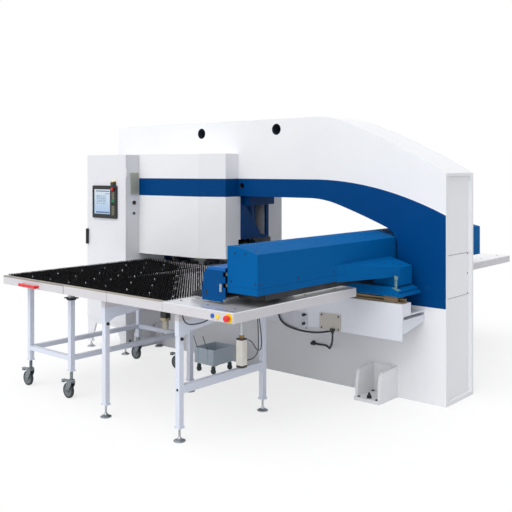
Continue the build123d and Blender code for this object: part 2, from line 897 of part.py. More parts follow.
cabinet_stand.part.label = "cabinet_stand"
export_step(cabinet_stand.part, "parts/cabinet_stand.step")


# Levelling feet: cast pad with a cone and a screw
def foot_into(x, y, top):
    with BuildSketch(Plane(origin=(x, y, 0), x_dir=(1, 0, 0), z_dir=(0, -1, 0))) as half:
        with BuildLine():
            Polyline(
                (0, 0),
                (foot_radius, 0),
                (foot_radius, 7),
                (foot_stem + 8, 20),
                (foot_stem, 34),
                (foot_stem, top),
                (0, top),
                close=True,
            )
        make_face()
    revolve(half.sketch, axis=Axis((x, y, 0), (0, 0, 1)))


with BuildPart() as levelling_feet:
    for foot_x in stand_foot_x:
        for foot_y in (stand_front + stand_leg / 2, stand_rear - stand_leg / 2):
            foot_into(foot_x, foot_y, foot_height)
    for foot_x in leg_x:
        for foot_y in leg_y:
            foot_into(foot_x, foot_y, leg_bottom)
        for foot_y in far_leg_y:
            foot_into(-foot_x, foot_y, leg_bottom)
levelling_feet.part.label = "levelling_feet"
export_step(levelling_feet.part, "parts/levelling_feet.step")


# Table trays: sheet aprons folded round a deck
near_tray = [
    (brush_inner_x, table_front_y),
    (table_outer_x, table_front_y),
    (table_outer_x, table_rear_y),
    (plate_inner_x, table_rear_y),
    (plate_inner_x, plate_front_y),
    (brush_inner_x, plate_front_y),
]
cart_rear_y = table_front_y - bench_gap
cart_tray = [
    (cart_inner_x, cart_front_y),
    (table_outer_x, cart_front_y),
    (table_outer_x, cart_rear_y),
    (cart_inner_x, cart_rear_y),
]


def tray_into(corners, side):
    placed = [(x * side, y) for x, y in corners]
    rim = table_top - plate_thickness
    for low, high, mode, shrink in (
        (apron_bottom, rim, Mode.ADD, 0),
        (apron_bottom, deck_low, Mode.SUBTRACT, apron_wall),
        (deck_low + deck_thickness, rim, Mode.SUBTRACT, apron_wall),
    ):
        with BuildSketch(Plane.XY.offset(low)) as outline:
            with BuildLine():
                Polyline(*placed, close=True)
            make_face()
            if shrink:
                offset(amount=-shrink, kind=Kind.INTERSECTION, mode=Mode.REPLACE)
        extrude(outline.sketch, amount=high - low, mode=mode)


def strip_into(y, side):
    """Metal strip along the outer edge of a brush field."""
    outer = side * table_outer_x
    inner = side * (table_outer_x - edge_strip)
    rim = table_top - plate_thickness
    block((min(outer, inner), max(outer, inner)), y, (rim, rim + edge_strip_height))


with BuildPart() as table_frames:
    for side in (1, -1):
        tray_into(near_tray, side)
        strip_into((table_front_y, plate_front_y - bench_gap), side)
        wall_x = (side * (plate_inner_x + apron_wall), side * (table_outer_x - apron_wall))
        block(
            (min(wall_x), max(wall_x)),
            (plate_front_y, plate_front_y + 20),
            (deck_low + deck_thickness, table_top - plate_thickness),
        )
        groove_x = side * table_outer_x
        groove = (groove_x - 1.5, groove_x + 1.5)
        block(groove, (apron_seam_y, apron_seam_y + 2), (apron_bottom, table_top), Mode.SUBTRACT)
    tray_into(cart_tray, -1)
    strip_into((cart_front_y, cart_rear_y), -1)
    joint_y = (cart_rear_y - latch_reach, table_front_y + latch_reach)
    for joint_x in (-latch_x[1], -leg_x[1]):
        block((joint_x, joint_x + 44), joint_y, (apron_bottom - latch_drop, apron_bottom))
    for place_y, hole in ((blue_y, button_radius), (yellow_y, button_radius), (table_stop_y, stop_shank)):
        bore_x = (table_outer_x - button_reach - 8, table_outer_x + 1)
        cross_pin(place_y, button_z, bore_x, hole, Mode.SUBTRACT)
    column(pin_x, leg_y[1], (apron_bottom, table_top), pin_radius + running_gap, Mode.SUBTRACT)
table_frames.part.label = "table_frames"
export_step(table_frames.part, "parts/table_frames.step")


with BuildPart() as table_plates:
    for side in (1, -1):
        plate_x = (side * plate_inner_x, side * table_outer_x)
        block(
            (min(plate_x), max(plate_x)),
            (plate_front_y, table_rear_y),
            (table_top - plate_thickness, table_top),
        )
    corners = table_plates.edges().filter_by(Axis.Z).group_by(Axis.Y)[-1]
    fillet(corners, 6)
    plate_z = (table_top - plate_thickness, table_top)
    column(pin_x, leg_y[1], plate_z, pin_radius + running_gap, Mode.SUBTRACT)
table_plates.part.label = "table_plates"
export_step(table_plates.part, "parts/table_plates.step")


# Brush boards: rows of bristles as ridges along X
def brush_into(x, y):
    count = int((y[1] - y[0] - brush_root) // brush_pitch) + 1
    first = (y[0] + y[1] - (count - 1) * brush_pitch) / 2
    low = deck_low + deck_thickness
    points = [(y[0], low), (y[0], low + brush_base)]
    for row in range(count):
        middle = first + row * brush_pitch
        points += [
            (middle - brush_root / 2, low + brush_base),
            (middle - brush_point / 2, brush_tip),
            (middle + brush_point / 2, brush_tip),
            (middle + brush_root / 2, low + brush_base),
        ]
    points += [(y[1], low + brush_base), (y[1], low)]
    with BuildSketch(Plane.YZ.offset(x[0])) as comb:
        with BuildLine():
            Polyline(*points, close=True)
        make_face()
    extrude(comb.sketch, amount=x[1] - x[0])
    return first


def field_limits(inner, outer, front, rear, side):
    low, high = sorted((side * (inner + brush_margin), side * (outer - edge_strip - brush_margin)))
    return (low, high), (front + apron_wall + 1, rear - brush_margin)


brush_fields = []
for side in (1, -1):
    brush_fields.append(field_limits(brush_inner_x, table_outer_x, table_front_y, plate_front_y, side))
    brush_fields.append(field_limits(cart_inner_x, table_outer_x, cart_front_y, cart_rear_y, side))
centre_field = (
    (-centre_half + apron_wall, centre_half - apron_wall),
    (centre_front_y + apron_wall, plate_front_y - apron_wall),
)
brush_fields.append(centre_field)

brush_starts = []
with BuildPart() as table_brushes:
    for field in brush_fields:
        brush_starts.append(brush_into(*field))
table_brushes.part.label = "table_brushes"
export_step(table_brushes.part, "parts/table_brushes.step")


# Ball transfer units: six-sided stems with domed tops, standing between the bristle rows
with BuildPart() as ball_units:
    for field, start in zip(brush_fields, brush_starts):
        columns = int((field[0][1] - field[0][0] - 60) // ball_pitch) + 1
        first_x = (field[0][0] + field[0][1] - (columns - 1) * ball_pitch) / 2
        rows_apart = round(ball_pitch / brush_pitch)
        rows = int((field[1][1] - field[1][0] - 2 * brush_pitch) // ball_pitch) + 1
        spare = field[1][1] - start - (rows - 1) * ball_pitch
        skip = int(spare / 2 // brush_pitch)
        first_y = start + (skip + 0.5) * brush_pitch
        spots = [
            (first_x + i * ball_pitch, first_y + j * rows_apart * brush_pitch)
            for i in range(columns)
            for j in range(rows)
        ]
        stem_low = deck_low + deck_thickness + brush_base
        with BuildSketch(Plane.XY.offset(stem_low)) as stems:
            with Locations(*spots):
                RegularPolygon(ball_stem, 6)
        extrude(amount=ball_top - ball_radius - stem_low)
        with BuildSketch(Plane.XY.offset(ball_top - ball_radius)) as domes:
            with Locations(*spots):
                RegularPolygon(ball_stem, 6)
        extrude(amount=ball_radius, taper=28)
ball_units.part.label = "ball_units"
export_step(ball_units.part, "parts/ball_units.step")


# Centre table in the throat, standing on the throat floor
with BuildPart() as centre_tables:
    centre_x = (-centre_half, centre_half)
    centre_y = (centre_front_y, plate_front_y)
    deck_top = deck_low + deck_thickness
    block(centre_x, centre_y, (deck_low, table_top - plate_thickness))
    block(
        (-centre_half + apron_wall, centre_half - apron_wall),
        (centre_front_y + apron_wall, plate_front_y - apron_wall),
        (deck_top, table_top - plate_thickness),
        Mode.SUBTRACT,
    )
    for leg_at in (centre_front_y + 60, plate_front_y - 100):
        block((-180, 180), (leg_at, leg_at + 40), (throat_floor, deck_low))
centre_tables.part.label = "centre_tables"
export_step(centre_tables.part, "parts/centre_tables.step")


# Leg frames under the tables: tapered arm, two tube legs, lower tie beam
def leg_frame_into(y, side, tied):
    face = y - leg_size / 2
    outer_x = leg_x[0] + leg_size / 2 + 6
    inner_x = leg_x[1] - leg_size / 2 - 6
    with BuildSketch(Plane.XZ.offset(-face - leg_size)) as arm:
        with BuildLine():
            Polyline(
                (side * outer_x, deck_low),
                (side * outer_x, arm_low),
                (side * (leg_x[0] - leg_size / 2 - 6), arm_low),
                (side * (leg_x[0] - 70), arm_low + 22),
                (side * inner_x, arm_inner_low),
                (side * inner_x, deck_low),
                close=True,
            )
        make_face()
    extrude(arm.sketch, amount=leg_size)
    for x, top in zip(leg_x, (arm_low, arm_inner_low)):
        limits_x = (side * x - leg_size / 2, side * x + leg_size / 2)
        block(limits_x, (face, face + leg_size), (leg_bottom, top + 20))
        pad = leg_foot_plate / 2
        block(
            (side * x - pad, side * x + pad),
            (y - pad, y + pad),
            (leg_bottom, leg_bottom + leg_foot_thickness),
        )
    if tied:
        tie_x = (side * leg_x[1], side * leg_x[0])
        block((min(tie_x), max(tie_x)), (face, face + leg_size), tie_beam_z)


with BuildPart() as leg_frames:
    for frame_y in leg_y:
        leg_frame_into(frame_y, 1, frame_y == leg_y[1])
    for frame_y in far_leg_y:
        leg_frame_into(frame_y, -1, frame_y == leg_y[1])
    pad_start = brush_inner_x + apron_wall + bench_gap
    flange_end = half_frame + frame_flange
    flange_y = (frame_arm_y[0] - frame_flange_lap, frame_arm_y[1] + frame_flange_lap)
    for arm_x, pad_x, flange_x in (
        ((half_frame, frame_arm_end), (pad_start, frame_arm_end), (half_frame, flange_end)),
        ((-frame_arm_end, -half_frame), (-frame_arm_end, -pad_start), (-flange_end, -half_frame)),
    ):
        block(arm_x, frame_arm_y, (apron_bottom - frame_arm_depth, apron_bottom))
        block(pad_x, frame_arm_y, (apron_bottom, deck_low))
        block(flange_x, flange_y, (frame_flange_low, apron_bottom))
    column(pin_x, leg_y[1], (arm_low, table_top), pin_radius + running_gap, Mode.SUBTRACT)
leg_frames.part.label = "leg_frames"
export_step(leg_frames.part, "parts/leg_frames.step")


# Front cart: tray on a tube frame
with BuildPart() as cart_frame:
    tray_into(cart_tray, 1)
    strip_into((cart_front_y, cart_rear_y), 1)
    half_leg = leg_size / 2
    for x in cart_leg_x:
        for y in cart_leg_y:
            block((x - half_leg, x + half_leg), (y - half_leg, y + half_leg), (cart_leg_bottom, deck_low))
            pad = leg_foot_plate / 2
            block((x - pad, x + pad), (y - pad, y + pad), (cart_leg_bottom, cart_leg_bottom + 10))
    latch_y = (cart_rear_y - latch_reach, table_front_y + latch_reach)
    block(latch_x, latch_y, (apron_bottom - latch_drop, apron_bottom))
    for x in cart_leg_x:
        block((x - half_leg, x + half_leg), cart_leg_y, cart_rail_z)
    for y in cart_leg_y:
        block((cart_leg_x[1], cart_leg_x[0]), (y - half_leg, y + half_leg), cart_rail_z)
        block((cart_leg_x[1], cart_leg_x[0]), (y - half_leg, y + half_leg), (deck_low - 30, deck_low))
cart_frame.part.label = "cart_frame"
export_step(cart_frame.part, "parts/cart_frame.step")

with BuildPart() as cart_handle:
    bar_x = table_outer_x + cart_handle_reach - handle_bar
    for end_y in (cart_handle_y[0] + 14, cart_handle_y[1] - 14):
        cross_pin(end_y, cart_handle_z, (table_outer_x, bar_x), handle_bar)
    with BuildSketch(Plane.XZ.offset(-cart_handle_y[0])) as bar:
        with Locations((bar_x, cart_handle_z)):
            RectangleRounded(2 * handle_bar, 2.4 * handle_bar, handle_bar * 0.8)
    extrude(amount=-(cart_handle_y[1] - cart_handle_y[0]))
cart_handle.part.label = "cart_handle"
export_step(cart_handle.part, "parts/cart_handle.step")


# Casters: stem and swivel head, fork cheeks with a brake pedal, and the wheel
def caster_fork(x, y):
    wheel_y = y - caster_offset
    outer = wheel_width / 2 + fork_gap
    head_low = 2 * wheel_radius + 8
    with BuildPart() as fork:
        column(x, y, (head_low + 24, cart_leg_bottom - running_gap), 13)
        column(x, y, (head_low + 12, head_low + 24), 27)
        block((x - outer - fork_plate, x + outer + fork_plate), (y - 34, y + 22), (head_low, head_low + 12))
        for cheek in (x - outer - fork_plate, x + outer):
            with BuildSketch(Plane.YZ.offset(cheek)) as cheek_face:
                with BuildLine():
                    Polyline(
                        (y - 34, head_low + 12),
                        (y + 22, head_low + 12),
                        (y + 18, head_low - 20),
                        (wheel_y + 14, wheel_radius - 12),
                        (wheel_y - 14, wheel_radius - 12),
                        (wheel_y - 16, wheel_radius + 10),
                        close=True,
                    )
                make_face()
            extrude(cheek_face.sketch, amount=fork_plate)
        pin_reach = outer + fork_plate + 5
        cross_pin(wheel_y, wheel_radius, (x - pin_reach, x + pin_reach), axle_radius)
        fork_limits = (x - outer - fork_plate, x + outer + fork_plate)
        block(fork_limits, (wheel_y - 52, y - 34), (head_low + 2, head_low + 10))
        block((x - 14, x + 14), (wheel_y - 78, wheel_y - 52), (head_low - 14, head_low + 10))
    return fork


def caster_wheel(x, y):
    wheel_y = y - caster_offset
    half = wheel_width / 2
    with BuildPart() as wheel:
        with BuildSketch(Plane.XY.offset(wheel_radius)) as half_section:
            with BuildLine():
                Polyline(
                    (x - half, wheel_y + axle_radius + running_gap),
                    (x + half, wheel_y + axle_radius + running_gap),
                    (x + half, wheel_y + 17),
                    (x + half * 0.5, wheel_y + 22),
                    (x + half * 0.5, wheel_y + 44),
                    (x + half * 0.8, wheel_y + 48),
                    (x + half * 0.8, wheel_y + wheel_radius - 4),
                    (x + half * 0.5, wheel_y + wheel_radius),
                    (x - half * 0.5, wheel_y + wheel_radius),
                    (x - half * 0.8, wheel_y + wheel_radius - 4),
                    (x - half * 0.8, wheel_y + 48),
                    (x - half * 0.5, wheel_y + 44),
                    (x - half * 0.5, wheel_y + 22),
                    (x - half, wheel_y + 17),
                    close=True,
                )
            make_face()
        revolve(half_section.sketch, axis=Axis((x, wheel_y, wheel_radius), (1, 0, 0)))
    return wheel


caster_places = [(x, y) for x in cart_leg_x for y in cart_leg_y]
for number, place in enumerate(caster_places, start=1):
    fork = caster_fork(*place)
    fork.part.label = f"caster_fork_{number}"
    export_step(fork.part, f"parts/caster_fork_{number}.step")
    wheel = caster_wheel(*place)
    wheel.part.label = f"caster_wheel_{number}"
    export_step(wheel.part, f"parts/caster_wheel_{number}.step")


# Rail supports along both sides of the frame, with skirt, shelf and gussets
with BuildPart() as rail_supports:
    run = support_y[1] - support_y[0]
    thickness = support_plate
    with BuildSketch(Plane.XZ.offset(-support_y[1])) as support_profile:
        with BuildLine():
            Polyline(
                (half_frame, support_shelf[0]),
                (half_frame, support_shelf[1]),
                (support_x - support_beam, support_shelf[1]),
                (support_x - support_beam, support_top),
                (support_x, support_top),
                (support_x, support_skirt_low),
                (support_x - thickness, support_skirt_low),
                (support_x - thickness, support_shelf[0]),
                close=True,
            )
        make_face()
        with Locations((support_x - support_beam / 2, (support_shelf[1] + support_top) / 2 - 6)):
            box_height = support_top - support_shelf[1] - thickness
            Rectangle(support_beam - 2 * thickness, box_height, mode=Mode.SUBTRACT)
        shelf_inside = (half_frame + thickness, support_x - 2 * thickness)
        with Locations((sum(shelf_inside) / 2, sum(support_shelf) / 2)):
            shelf_height = support_shelf[1] - support_shelf[0] - 2 * thickness
            Rectangle(shelf_inside[1] - shelf_inside[0], shelf_height, mode=Mode.SUBTRACT)
    extrude(support_profile.sketch, amount=run)
    end_plate_x = (support_x - support_beam + 1, support_x - 1)
    block(end_plate_x, (support_y[1] - 8, support_y[1]), (support_shelf[1] - 1, support_top - 1))
    for gusset_y in (support_y[0] + 200, 900, 1500, support_y[1] - 30):
        with BuildSketch(Plane.XZ.offset(-gusset_y - 20)) as gusset:
            with BuildLine():
                Polyline(
                    (half_frame, support_shelf[0]),
                    (support_x - thickness, support_shelf[0]),
                    (support_x - thickness, support_shelf[0] - 92),
                    (support_x - 66, support_shelf[0] - 92),
                    (half_frame, support_shelf[0] - 40),
                    close=True,
                )
            make_face()
        extrude(gusset.sketch, amount=20)
    mirror(about=Plane.YZ)
rail_supports.part.label = "rail_supports"
export_step(rail_supports.part, "parts/rail_supports.step")


# Linear rails with a waisted section
with BuildPart() as y_rails:
    half_rail = y_rail_width / 2
    with BuildSketch(Plane.XZ.offset(-support_y[1] + 4)) as rail_profile:
        with BuildLine():
            Polyline(
                (y_rail_x - half_rail, support_top),
                (y_rail_x + half_rail, support_top),
                (y_rail_x + half_rail, support_top + 12),
                (y_rail_x + half_rail - 9, support_top + 18),
                (y_rail_x + half_rail - 5, support_top + 26),
                (y_rail_x + half_rail - 5, y_rail_top),
                (y_rail_x - half_rail + 5, y_rail_top),
                (y_rail_x - half_rail + 5, support_top + 26),
                (y_rail_x - half_rail + 9, support_top + 18),
                (y_rail_x - half_rail, support_top + 12),
                close=True,
            )
        make_face()
    extrude(rail_profile.sketch, amount=support_y[1] - support_y[0] - 8)
    mirror(about=Plane.YZ)
y_rails.part.label = "y_rails"
export_step(y_rails.part, "parts/y_rails.step")


# Beam along X: bent box section with end plates and the two carriage rails
with BuildPart() as y_beam:
    length = beam_x[1] - beam_x[0]
    with BuildSketch(Plane.YZ.offset(beam_x[0])) as beam_profile:
        with BuildLine():
            Polyline(
                (beam_y[0], beam_z[0]),
                (beam_y[0], beam_z[1]),
                (beam_y[0] + beam_flat, beam_z[1]),
                (beam_y[1], beam_rear_height),
                (beam_y[1], beam_z[0]),
                close=True,
            )
        make_face()
        offset(amount=-beam_wall, kind=Kind.INTERSECTION, mode=Mode.SUBTRACT)
    extrude(amount=length)
    for end in (beam_x[0], beam_x[1] - beam_wall):
        with BuildSketch(Plane.YZ.offset(end)) as cap:
            with BuildLine():
                Polyline(
                    (beam_y[0], beam_z[0]),
                    (beam_y[0], beam_z[1]),
                    (beam_y[0] + beam_flat, beam_z[1]),
                    (beam_y[1], beam_rear_height),
                    (beam_y[1], beam_z[0]),
                    close=True,
                )
            make_face()
        extrude(cap.sketch, amount=beam_wall)
    rail_run = (beam_x[0] + 30, beam_x[1] - 4)
    for rail_z in x_rail_z:
        block(rail_run, (beam_y[0] - x_rail_size, beam_y[0]), (rail_z - 11, rail_z + 11))
y_beam.part.label = "y_beam"
export_step(y_beam.part, "parts/y_beam.step")


# Saddles on the rails and the consoles that carry the beam
with BuildPart() as beam_carriers:
    block(saddle_x, saddle_y, saddle_z)
    with BuildSketch(Plane.YZ.offset(saddle_x[0])) as saddle_side:
        with BuildLine():
            Polyline(
                (saddle_y[0] + 60, saddle_z[1]),
                (saddle_y[0] + 100, saddle_block_top),
                (saddle_y[1] - 100, saddle_block_top),
                (saddle_y[1] - 24, saddle_z[1] + 18),
                (saddle_y[1] - 24, saddle_z[1]),
                close=True,
            )
        make_face()
    extrude(saddle_side.sketch, amount=saddle_x[1] - saddle_x[0])
    block((console_long[0], 560), (beam_y[1], console_rear), (saddle_block_top, console_low))
    with BuildSketch(Plane.XY.offset(console_low)) as console_plan:
        with BuildLine():
            Polyline(
                (console_long[0], beam_y[1]),
                (console_long[1], beam_y[1]),
                (console_short, console_rear),
                (console_long[0], console_rear),
                close=True,
            )
        make_face()
    extrude(amount=console_top - console_low)
    with BuildSketch(Plane.YZ.offset(console_long[0] - 10)) as console_slope:
        with BuildLine():
            Polyline(
                (beam_y[1], console_top),
                (console_rear + 10, console_rear_top - 3),
                (console_rear + 10, console_top + 10),
                (beam_y[1], console_top + 10),
                close=True,
            )
        make_face()
    extrude(amount=console_long[1] - console_long[0] + 20, mode=Mode.SUBTRACT)
    bearing_low = support_top + 14
    for bearing_y in (saddle_y[0] + 40, saddle_y[1] - 160):
        bearing_y_limits = (bearing_y, bearing_y + 120)
        block((y_rail_x - 45, y_rail_x + 45), bearing_y_limits, (bearing_low, saddle_z[0]))
        slot = y_rail_width / 2 + running_gap
        rail_slot = (y_rail_x - slot, y_rail_x + slot)
        block(rail_slot, bearing_y_limits, (bearing_low, y_rail_top + running_gap), Mode.SUBTRACT)
    column(saddle_x[1] - 30, saddle_y[1] - 60, (saddle_z[1], 1010), 9)
    column(saddle_x[1] - 30, saddle_y[1] - 60, (1010, 1034), 15)
    mirror(about=Plane.YZ)
beam_carriers.part.label = "beam_carriers"
export_step(beam_carriers.part, "parts/beam_carriers.step")


# Carriage: plate on four bearing blocks, shelf, and the clamp bodies
clamp_xs = [
    (carriage_x[0] + carriage_x[1]) / 2 + (i - (clamp_count - 1) / 2) * clamp_pitch
    for i in range(clamp_count)
]
with BuildPart() as carriage:
    block(carriage_x, carriage_plate_y, carriage_plate_z)
    shelf_y = (clamp_rear, carriage_plate_y[0])
    block(carriage_x, shelf_y, (carriage_plate_z[0], carriage_plate_z[0] + carriage_shelf))
    rail_front = beam_y[0] - x_rail_size
    for rail_z in x_rail_z:
        for end_x in (carriage_x[0] + 60, carriage_x[1] - 160):
            shoe_y = (carriage_plate_y[1], rail_front - running_gap)
            block((end_x, end_x + 100), shoe_y, (rail_z - 27, rail_z + 27))
            for edge in (rail_z - 27, rail_z + 11 + running_gap):
                lip = (rail_front - running_gap, beam_y[0] - 4)
                block((end_x, end_x + 100), lip, (edge, edge + 16 - running_gap))
    for clamp_x in clamp_xs:
        limits = (clamp_x - clamp_width / 2, clamp_x + clamp_width / 2)
        block(limits, (clamp_tip, clamp_rear), (clamp_low, clamp_low + clamp_base))
        block(limits, (clamp_rear - 2, clamp_rear + 60), (clamp_low, carriage_plate_z[0]))
        for side in (-1, 1):
            ear = sorted((clamp_x + side * clamp_width / 2, clamp_x + side * (clamp_width / 2 - clamp_ear)))
            block(tuple(ear), (clamp_pivot[0] - 34, clamp_rear + 10), (clamp_low, clamp_pivot[1] + 20))
        cross_pin(*clamp_pivot, limits, clamp_pin)
carriage.part.label = "carriage"
export_step(carriage.part, "parts/carriage.step")


def clamp_lever(clamp_x):
    half = clamp_width / 2 - clamp_ear - running_gap
    low = clamp_low + clamp_base + clamp_slot
    with BuildPart() as lever:
        with BuildSketch(Plane.YZ.offset(clamp_x - half)) as side_view:
            with BuildLine():
                Polyline(
                    (clamp_tip, low),
                    (clamp_pivot[0] - 10, low),
                    (clamp_pivot[0] + 56, clamp_pivot[1] - 4),
                    (clamp_pivot[0] + 56, clamp_pivot[1] + 14),
                    (clamp_pivot[0] - 20, clamp_pivot[1] + 18),
                    (clamp_tip + 24, low + 18),
                    (clamp_tip, low + 7),
                    close=True,
                )
            make_face()
            with Locations(clamp_pivot):
                Circle(clamp_pin + running_gap, mode=Mode.SUBTRACT)
        extrude(amount=2 * half)
    return lever


for number, clamp_x in enumerate(clamp_xs, start=1):
    clamp_jaw = clamp_lever(clamp_x)
    clamp_jaw.part.label = f"clamp_jaw_{number}"
    export_step(clamp_jaw.part, f"parts/clamp_jaw_{number}.step")

# Guard over the carriage: folded sheet with a leaning front and an end plate
with BuildPart() as carriage_guard:
    guard_rear = beam_y[0] - 4
    end_plate_rear = rail_front - 4
    with BuildSketch(Plane.YZ.offset(guard_x[0])) as guard_profile:
        with BuildLine():
            Polyline(
                (guard_front, guard_low + 52),
                (guard_front + 14, 1146),
                (guard_front + 56, guard_top),
                (guard_rear, guard_top),
                (guard_rear, guard_top - guard_wall),
                (guard_front + 57.5, guard_top - guard_wall),
                (guard_front + 17, 1145),
                (guard_front + guard_wall, guard_low + 52),
                close=True,
            )
        make_face()
    extrude(amount=guard_x[1] - guard_x[0])
    with BuildSketch(Plane.YZ.offset(guard_x[1] - guard_wall)) as end_plate:
        with BuildLine():
            Polyline(
                (guard_front, guard_low),
                (guard_front + 14, 1146),
                (guard_front + 56, guard_top),
                (end_plate_rear, guard_top),
                (end_plate_rear, guard_low),
                close=True,
            )
        make_face()
    extrude(end_plate.sketch, amount=guard_wall)
    for bracket_x in (carriage_x[0] + 20, carriage_x[1] - 60):
        block((bracket_x, bracket_x + 40), carriage_plate_y, (carriage_plate_z[1], guard_top - guard_wall))
carriage_guard.part.label = "carriage_guard"
export_step(carriage_guard.part, "parts/carriage_guard.step")


# Push buttons on the near apron
def push_button(y):
    with BuildPart() as button:
        button_x = (table_outer_x - button_reach, table_outer_x + 7)
        cross_pin(y, button_z, button_x, button_radius - running_gap)
        chamfer(button.faces().sort_by(Axis.X)[-1].edges(), 1.5)
    return button


blue_button = push_button(blue_y)
blue_button.part.label = "blue_button"
export_step(blue_button.part, "parts/blue_button.step")
yellow_button = push_button(yellow_y)
yellow_button.part.label = "yellow_button"
export_step(yellow_button.part, "parts/yellow_button.step")

with BuildPart() as table_estop:
    shank_x = (table_outer_x - button_reach, table_outer_x + 16)
    cross_pin(table_stop_y, button_z, shank_x, stop_shank - running_gap)
    cross_pin(table_stop_y, button_z, (table_outer_x + 16, table_outer_x + 36), stop_head)
    fillet(table_estop.faces().sort_by(Axis.X)[-1].edges(), 6)
table_estop.part.label = "table_estop"
export_step(table_estop.part, "parts/table_estop.step")


# Cover plates on the near rail support, the button rings and the knob plate
with BuildPart() as cover_plates:
    for plate_y, plate_z in (((1380, 1588), (544, 685)), ((1013, 1257), (520, 661))):
        with BuildSketch(Plane.YZ.offset(support_x)) as plate_face:
            with Locations((sum(plate_y) / 2, sum(plate_z) / 2)):
                RectangleRounded(plate_y[1] - plate_y[0], plate_z[1] - plate_z[0], 16)
        extrude(plate_face.sketch, amount=8)
    for screw_y in (1400, 1568):
        for screw_z in (564, 665):
            cross_pin(screw_y, screw_z, (support_x + 8, support_x + 12), 6)
    for knob_z in (571, 643):
        cross_pin(1223, knob_z, (support_x + 8, support_x + 26), 13)
    with BuildSketch(Plane.YZ.offset(table_outer_x)) as ring:
        with Locations((table_stop_y, button_z)):
            Circle(stop_ring)
            Circle(stop_shank + 1, mode=Mode.SUBTRACT)
    extrude(ring.sketch, amount=4)
    gland_y, gland_z = frame_gland
    cross_pin(gland_y, gland_z, (half_frame, half_frame + 14), 21)
    cross_pin(gland_y, gland_z, (half_frame + 14, half_frame + 38), gland_radius)
    with BuildSketch(Plane.XZ.offset(-gland_y)) as elbow:
        with Locations((half_frame + 24, gland_z)):
            Circle(gland_radius)
    extrude(elbow.sketch, amount=-gland_elbow)
    cross_pin(*hidden_gland, (half_frame, half_frame + 40), gland_radius)
    column(support_x + 18, 1517, (530, 548), gland_radius)
    block((support_x + 8, support_x + 34), (1500, 1534), (548, 568))
    block((support_x, support_x + 34), (939, 971), (668, 698))
cover_plates.part.label = "cover_plates"
export_step(cover_plates.part, "parts/cover_plates.step")


# Air filter and regulator under the apron
with BuildPart() as filter_regulator:
    block((2118, 2164), (1157, 1211), (818, deck_low))
    column(2141, 1184, (762, 818), 22)
    column(2141, 1184, (750, 762), 10)
filter_regulator.part.label = "filter_regulator"
export_step(filter_regulator.part, "parts/filter_regulator.step")

# Air cylinder on the tie beam, with its end caps, ports and tie rods
with BuildPart() as air_cylinder:
    half_body = air_body / 2
    body_x = (pin_x - half_body, pin_x + half_body)
    body_y = (leg_y[1] - half_body, leg_y[1] + half_body)
    block(body_x, body_y, (tie_beam_z[1], air_body_top))
    fillet(air_cylinder.edges().filter_by(Axis.Z), 6)
    column(pin_x, leg_y[1], (tie_beam_z[1] + 20, air_body_top), pin_radius + running_gap, Mode.SUBTRACT)
    column(pin_x, leg_y[1], (air_body_top, air_body_top + 22), 19)
    column(pin_x, leg_y[1], (air_body_top, air_body_top + 22), pin_radius + running_gap, Mode.SUBTRACT)
    for port_z in (tie_beam_z[1] + 40, air_body_top - 24):
        with BuildSketch(Plane.YZ.offset(pin_x - half_body - 22)) as port:
            with Locations((leg_y[1], port_z)):
                Circle(9)
        extrude(port.sketch, amount=24)
air_cylinder.part.label = "air_cylinder"
export_step(air_cylinder.part, "parts/air_cylinder.step")

with BuildPart() as stop_pin:
    column(pin_x, leg_y[1], (tie_beam_z[1] + 60, table_top), pin_radius)
    chamfer(stop_pin.faces().sort_by(Axis.Z)[-1].edges(), 2)
stop_pin.part.label = "stop_pin"
export_step(stop_pin.part, "parts/stop_pin.step")


# Scrap bin on small casters, with two rod handles
with BuildPart() as scrap_bin:
    with BuildSketch(Plane.XY.offset(bin_z[0])) as bin_plan:
        with Locations((sum(bin_x) / 2, sum(bin_y) / 2)):
            Rectangle(bin_x[1] - bin_x[0], bin_y[1] - bin_y[0])
    extrude(amount=bin_z[1] - bin_z[0])
    offset(amount=-bin_wall, openings=scrap_bin.faces().sort_by(Axis.Z)[-1])
    for wheel_x in (bin_x[0] + 30, bin_x[1] - 30):
        for wheel_y in (bin_y[0] + 30, bin_y[1] - 30):
            column(wheel_x, wheel_y, (62, bin_z[0]), 14)
            block((wheel_x - 13, wheel_x + 13), (wheel_y - 16, wheel_y + 16), (50, 62))
            cross_pin(wheel_y, 25, (wheel_x - 9, wheel_x + 9), 25)
            for side in (-1, 1):
                cheek = sorted((wheel_x + side * 10, wheel_x + side * 13))
                block(tuple(cheek), (wheel_y - 12, wheel_y + 12), (18, 62))
            cross_pin(wheel_y, 25, (wheel_x - 15, wheel_x + 15), 5)
    for rod_y in (bin_y[0] + 45, bin_y[1] - 73):
        with BuildLine() as rod_line:
            FilletPolyline(
                (bin_x[1] + 3, rod_y, bin_z[0] + 15),
                (bin_x[1] + 3, rod_y, bin_z[1] - 12),
                (bin_x[1] + 62, rod_y, 350),
                radius=20,
            )
        with BuildSketch(Plane(origin=rod_line.line @ 0, z_dir=rod_line.line % 0)) as rod_section:
            Circle(4)
        sweep(rod_section.sketch, path=rod_line.wires()[0])
scrap_bin.part.label = "scrap_bin"
export_step(scrap_bin.part, "parts/scrap_bin.step")


